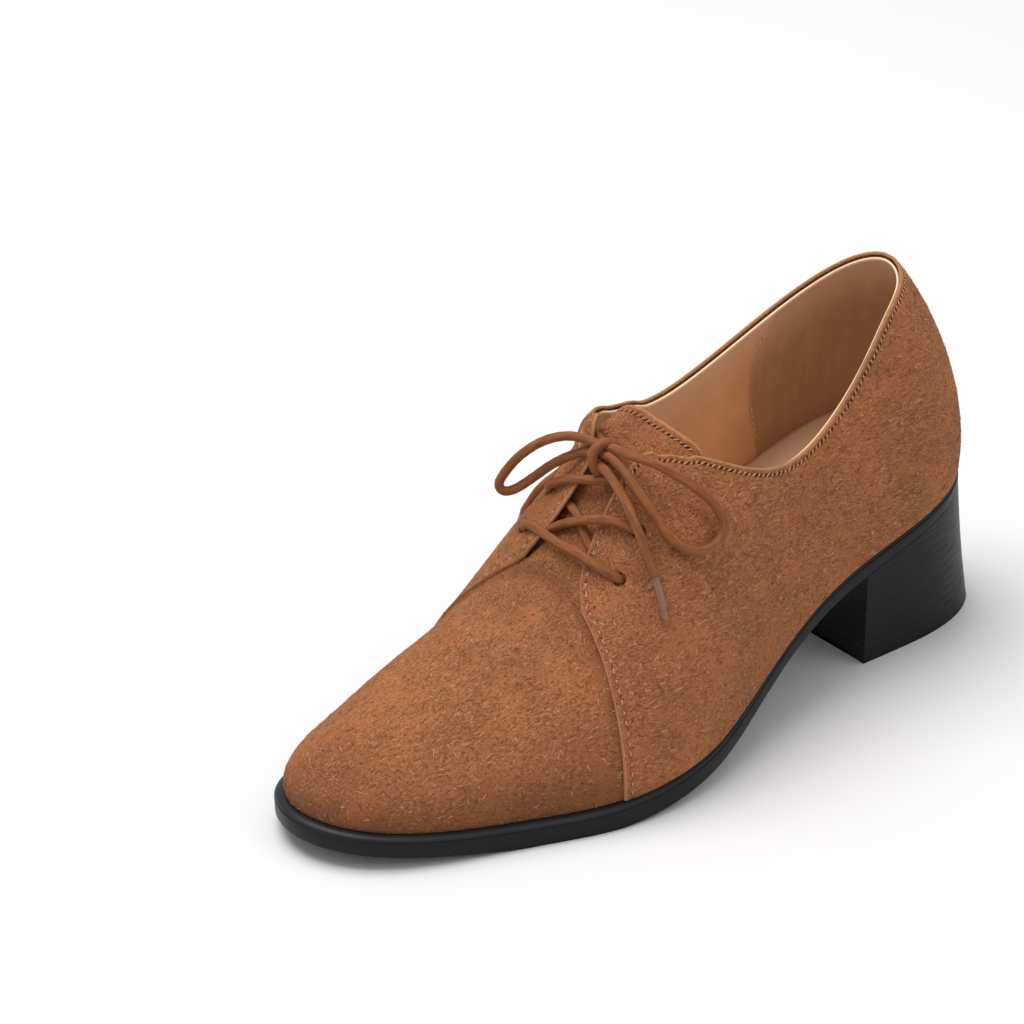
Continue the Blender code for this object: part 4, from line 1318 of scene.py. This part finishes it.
def build_camera():
    """The camera that was fitted to the photograph."""
    right, up, back = camera_axes()
    lens = bpy.data.cameras.new("camera")
    lens.sensor_width = SENSOR
    lens.lens = SENSOR * CAMERA["focal_px"] / FRAME_PX
    lens.clip_start = 0.01
    lens.clip_end = 50
    camera = bpy.data.objects.new("camera", lens)
    matrix = Matrix((right, up, back)).transposed().to_4x4()
    matrix.translation = (Vector(CAMERA["target"]) + back * CAMERA["distance"]) * MM
    camera.matrix_world = matrix
    bpy.context.scene.collection.objects.link(camera)
    bpy.context.scene.camera = camera


def area_light(name, size, power, place, target):
    """A round soft light that looks at the target."""
    light = bpy.data.lights.new(name, "AREA")
    light.shape = "DISK"
    light.size = size
    light.energy = power
    lamp = bpy.data.objects.new(name, light)
    lamp.location = place
    lamp.rotation_euler = (Vector(target) - Vector(place)).to_track_quat("-Z", "Y").to_euler()
    bpy.context.scene.collection.objects.link(lamp)


def build_stage(key, fill, surround):
    """Floor, soft lights and the camera."""
    side = np.linspace(-3, 3, 13) / MM
    grid = np.stack(np.meshgrid(side, side, indexing="ij"), -1)
    shape = Shape()
    shape.grid(np.concatenate([grid, np.full(grid.shape[:2] + (1,), -0.02)], -1), flip=True)
    shape.build("floor", pale_floor(), merge=0)
    world = bpy.data.worlds.new("surround")
    world.use_nodes = True
    world.node_tree.nodes["Background"].inputs["Color"].default_value = (1, 1, 1, 1)
    world.node_tree.nodes["Background"].inputs["Strength"].default_value = surround
    bpy.context.scene.world = world
    right, _up, back = camera_axes()
    middle = Vector((0.12, 0, 0.05))
    level = Vector((back.x, back.y, 0)).normalized()
    area_light("key light", 1.1, key, middle + (-right * 0.35 + Vector((0, 0, 1.3)) - level * 0.18), middle)
    area_light("fill light", 1.2, fill, middle + (right * 1.2 + Vector((0, 0, 0.7)) + back * 0.5), middle)
    bpy.context.scene.view_settings.view_transform = "Standard"
    build_camera()


def colour_setting(name, description, default):
    """One colour of the shoe, as scene-linear values."""
    return FloatVectorProperty(name=name, description=description, default=default, subtype="COLOR",
                               min=0, max=1)


class ShoeColours(PropertyGroup):
    """Colours of the shoe."""

    suede: colour_setting("Suede", "Brushed leather of the upper", (0.395, 0.144, 0.057))
    lining: colour_setting("Lining", "Smooth leather inside", (0.77, 0.45, 0.235))
    sock: colour_setting("Sock", "Leather on the insole", (1.0, 0.72, 0.47))
    sole: colour_setting("Sole", "Both sole layers", (0.0055, 0.0055, 0.006))
    heel: colour_setting("Heel", "Stacked heel block", (0.0052, 0.0052, 0.0062))
    lace: colour_setting("Lace", "Round lace", (0.265, 0.091, 0.030))
    tip: colour_setting("Lace tip", "Film on the ends of the lace", (0.23, 0.110, 0.070))
    thread: colour_setting("Thread", "Sewing thread", (0.62, 0.34, 0.17))
    pale_thread: colour_setting("Pale thread", "Thread of the lining's seam", (0.95, 0.66, 0.40))


class ShoeSizes(PropertyGroup):
    """Sizes of the shoe's small details."""

    lift: FloatProperty(name="Heel lift", description="Thickness of one layer of the heel, in millimetres",
                        default=3.0, min=1, max=10)
    fibres: IntProperty(name="Loose fibres", description="How many raised fibres lie on the suede",
                        default=2600, min=0, max=20000)
    seed: IntProperty(name="Seed", description="Start of the random numbers for the fibres", default=11)
    key: FloatProperty(name="Key light", description="Power of the main light", unit="POWER", default=15.5)
    fill: FloatProperty(name="Fill light", description="Power of the second light", unit="POWER", default=3.0)
    surround: FloatProperty(name="Surround", description="Strength of the even light from all round",
                            default=0.53)


@cache
def made(maker, *values):
    """A finish, built the first time it is asked for with these values."""
    return maker(*values)


def coloured(maker, setting, *values):
    """The finish that a maker gives for one colour setting."""
    return made(maker, tuple(getattr(bpy.context.scene.shoe_colours, setting)), *values)


def stand_for(names, node):
    """Lets pieces take the place of a node of the frame by hiding the node."""
    for name in names:
        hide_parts(node)


def sizes():
    """The settings of the shoe's details and lights."""
    return bpy.context.scene.shoe_sizes


class ShoeStep:
    """What all operators share."""

    bl_options = {"REGISTER", "UNDO"}


class SHOE_OT_stage(ShoeStep, Operator):
    """Floor, lights and camera"""

    bl_idname = "shoe.stage"
    bl_label = "Stage"

    def execute(self, context):
        build_stage(sizes().key, sizes().fill, sizes().surround)
        return {"FINISHED"}


class SHOE_OT_lace(ShoeStep, Operator):
    """Lace: bars through the holes, knot, loops and ends"""

    bl_idname = "shoe.lace"
    bl_label = "Lace"

    def execute(self, context):
        build_lace(coloured(cord_finish, "lace"), coloured(tip_film, "tip"))
        return {"FINISHED"}


class SHOE_OT_upper(ShoeStep, Operator):
    """Vamp and both quarters"""

    bl_idname = "shoe.upper"
    bl_label = "Upper"

    def execute(self, context):
        build_vamp(coloured(suede, "suede"))
        for name, side, holes in (("quarter_outer", 1, ("low_lat", "high_lat")),
                                  ("quarter_inner", -1, ("low_med", "high_med"))):
            build_quarter(name, side, coloured(suede, "suede"), [HOLES[hole] for hole in holes])
        stand_for(("vamp_leather", "quarter_outer", "quarter_inner"), "upper")
        return {"FINISHED"}


class SHOE_OT_tongue(ShoeStep, Operator):
    """Tongue under the flaps"""

    bl_idname = "shoe.tongue"
    bl_label = "Tongue"

    def execute(self, context):
        build_tongue(coloured(suede, "suede"))
        stand_for(("tongue_leather",), "tongue")
        return {"FINISHED"}


class SHOE_OT_lining(ShoeStep, Operator):
    """Lining and the sock on the insole"""

    bl_idname = "shoe.lining"
    bl_label = "Lining and sock"

    def execute(self, context):
        build_lining(coloured(lining_leather, "lining", "lining_leather"))
        build_sock(coloured(lining_leather, "sock", "sock_leather"))
        stand_for(("inner_lining",), "upper")
        stand_for(("insole_sock",), "insole")
        return {"FINISHED"}


class SHOE_OT_sole(ShoeStep, Operator):
    """Midsole, outsole and heel"""

    bl_idname = "shoe.sole"
    bl_label = "Sole and heel"

    def execute(self, context):
        # The midsole is the sole's black made 3.2 times lighter: painted light for its top bevel catching the
        # light.
        band("midsole_band", coloured(sole_black, "sole", "welt_dressing", 3.2),
             lambda s: FEATHER(s)[:, 2] - SOLE_DROP - MIDSOLE, lambda s: FEATHER(s)[:, 2] - SOLE_DROP,
             grow=-0.3, roll=1.05, wide=2.0, most=0.88)
        band("outsole_band", coloured(sole_black, "sole", "edge_dressing"),
             lambda s: np.maximum(FEATHER(s)[:, 2] - EDGE(s)[:, 0], 0),
             lambda s: FEATHER(s)[:, 2] - SOLE_DROP - MIDSOLE - SOLE_GAP, grow=0.0, roll=0.4)
        build_heel(coloured(heel_black, "heel", sizes().lift))
        stand_for(("midsole_band",), "midsole")
        stand_for(("outsole_band",), "outsole")
        stand_for(("heel_stack",), "heel")
        return {"FINISHED"}


class SHOE_OT_stitches(ShoeStep, Operator):
    """Stitches and needle holes"""

    bl_idname = "shoe.stitches"
    bl_label = "Stitches"

    def execute(self, context):
        build_stitches([quarter_skin(1), quarter_skin(-1)], tongue_surface()[:2], lining_seam_line(),
                       coloured(thread, "thread", "sewing_thread"),
                       coloured(thread, "pale_thread", "pale_thread"), made(shadow_hole))
        return {"FINISHED"}


class SHOE_OT_nap(ShoeStep, Operator):
    """Loose fibres on the suede"""

    bl_idname = "shoe.nap"
    bl_label = "Nap"

    def execute(self, context):
        outer, inner = (quarter_skin(side)[1][:, 2:-5] for side in (1, -1))
        surfaces = ((outer, 0.46), (inner, 0.2), (vamp_skin()[1], 0.34))
        build_nap(sizes().fibres, sizes().seed, coloured(loose_nap, "suede"), surfaces)
        return {"FINISHED"}


STEPS = (SHOE_OT_stage, SHOE_OT_lace, SHOE_OT_upper, SHOE_OT_tongue, SHOE_OT_lining, SHOE_OT_sole,
         SHOE_OT_stitches, SHOE_OT_nap)


class SHOE_PT_steps(Panel):
    """Lists the shoe's settings and steps in the sidebar"""

    bl_idname = "SHOE_PT_steps"
    bl_label = "Lace up heel"
    bl_space_type = "VIEW_3D"
    bl_region_type = "UI"
    bl_category = "Shoe"

    def draw(self, context):
        layout = self.layout
        for group in (context.scene.shoe_colours, context.scene.shoe_sizes):
            for setting in group.bl_rna.properties:
                if not setting.is_readonly and setting.identifier != "name":
                    layout.prop(group, setting.identifier)
        for step in STEPS:
            layout.operator(step.bl_idname)


CLASSES = (ShoeColours, ShoeSizes, *STEPS, SHOE_PT_steps)


def register():
    """Adds the settings, operators and panel."""
    for kind in CLASSES:
        bpy.utils.register_class(kind)
    bpy.types.Scene.shoe_colours = PointerProperty(type=ShoeColours)
    bpy.types.Scene.shoe_sizes = PointerProperty(type=ShoeSizes)


def unregister():
    """Takes them away again."""
    del bpy.types.Scene.shoe_sizes
    del bpy.types.Scene.shoe_colours
    for kind in reversed(CLASSES):
        bpy.utils.unregister_class(kind)


def main():
    """Runs every step."""
    register()
    for step in ("stage", "lace", "upper", "tongue", "lining", "sole", "stitches", "nap"):
        getattr(bpy.ops.shoe, step)()


if __name__ == "__main__":
    main()
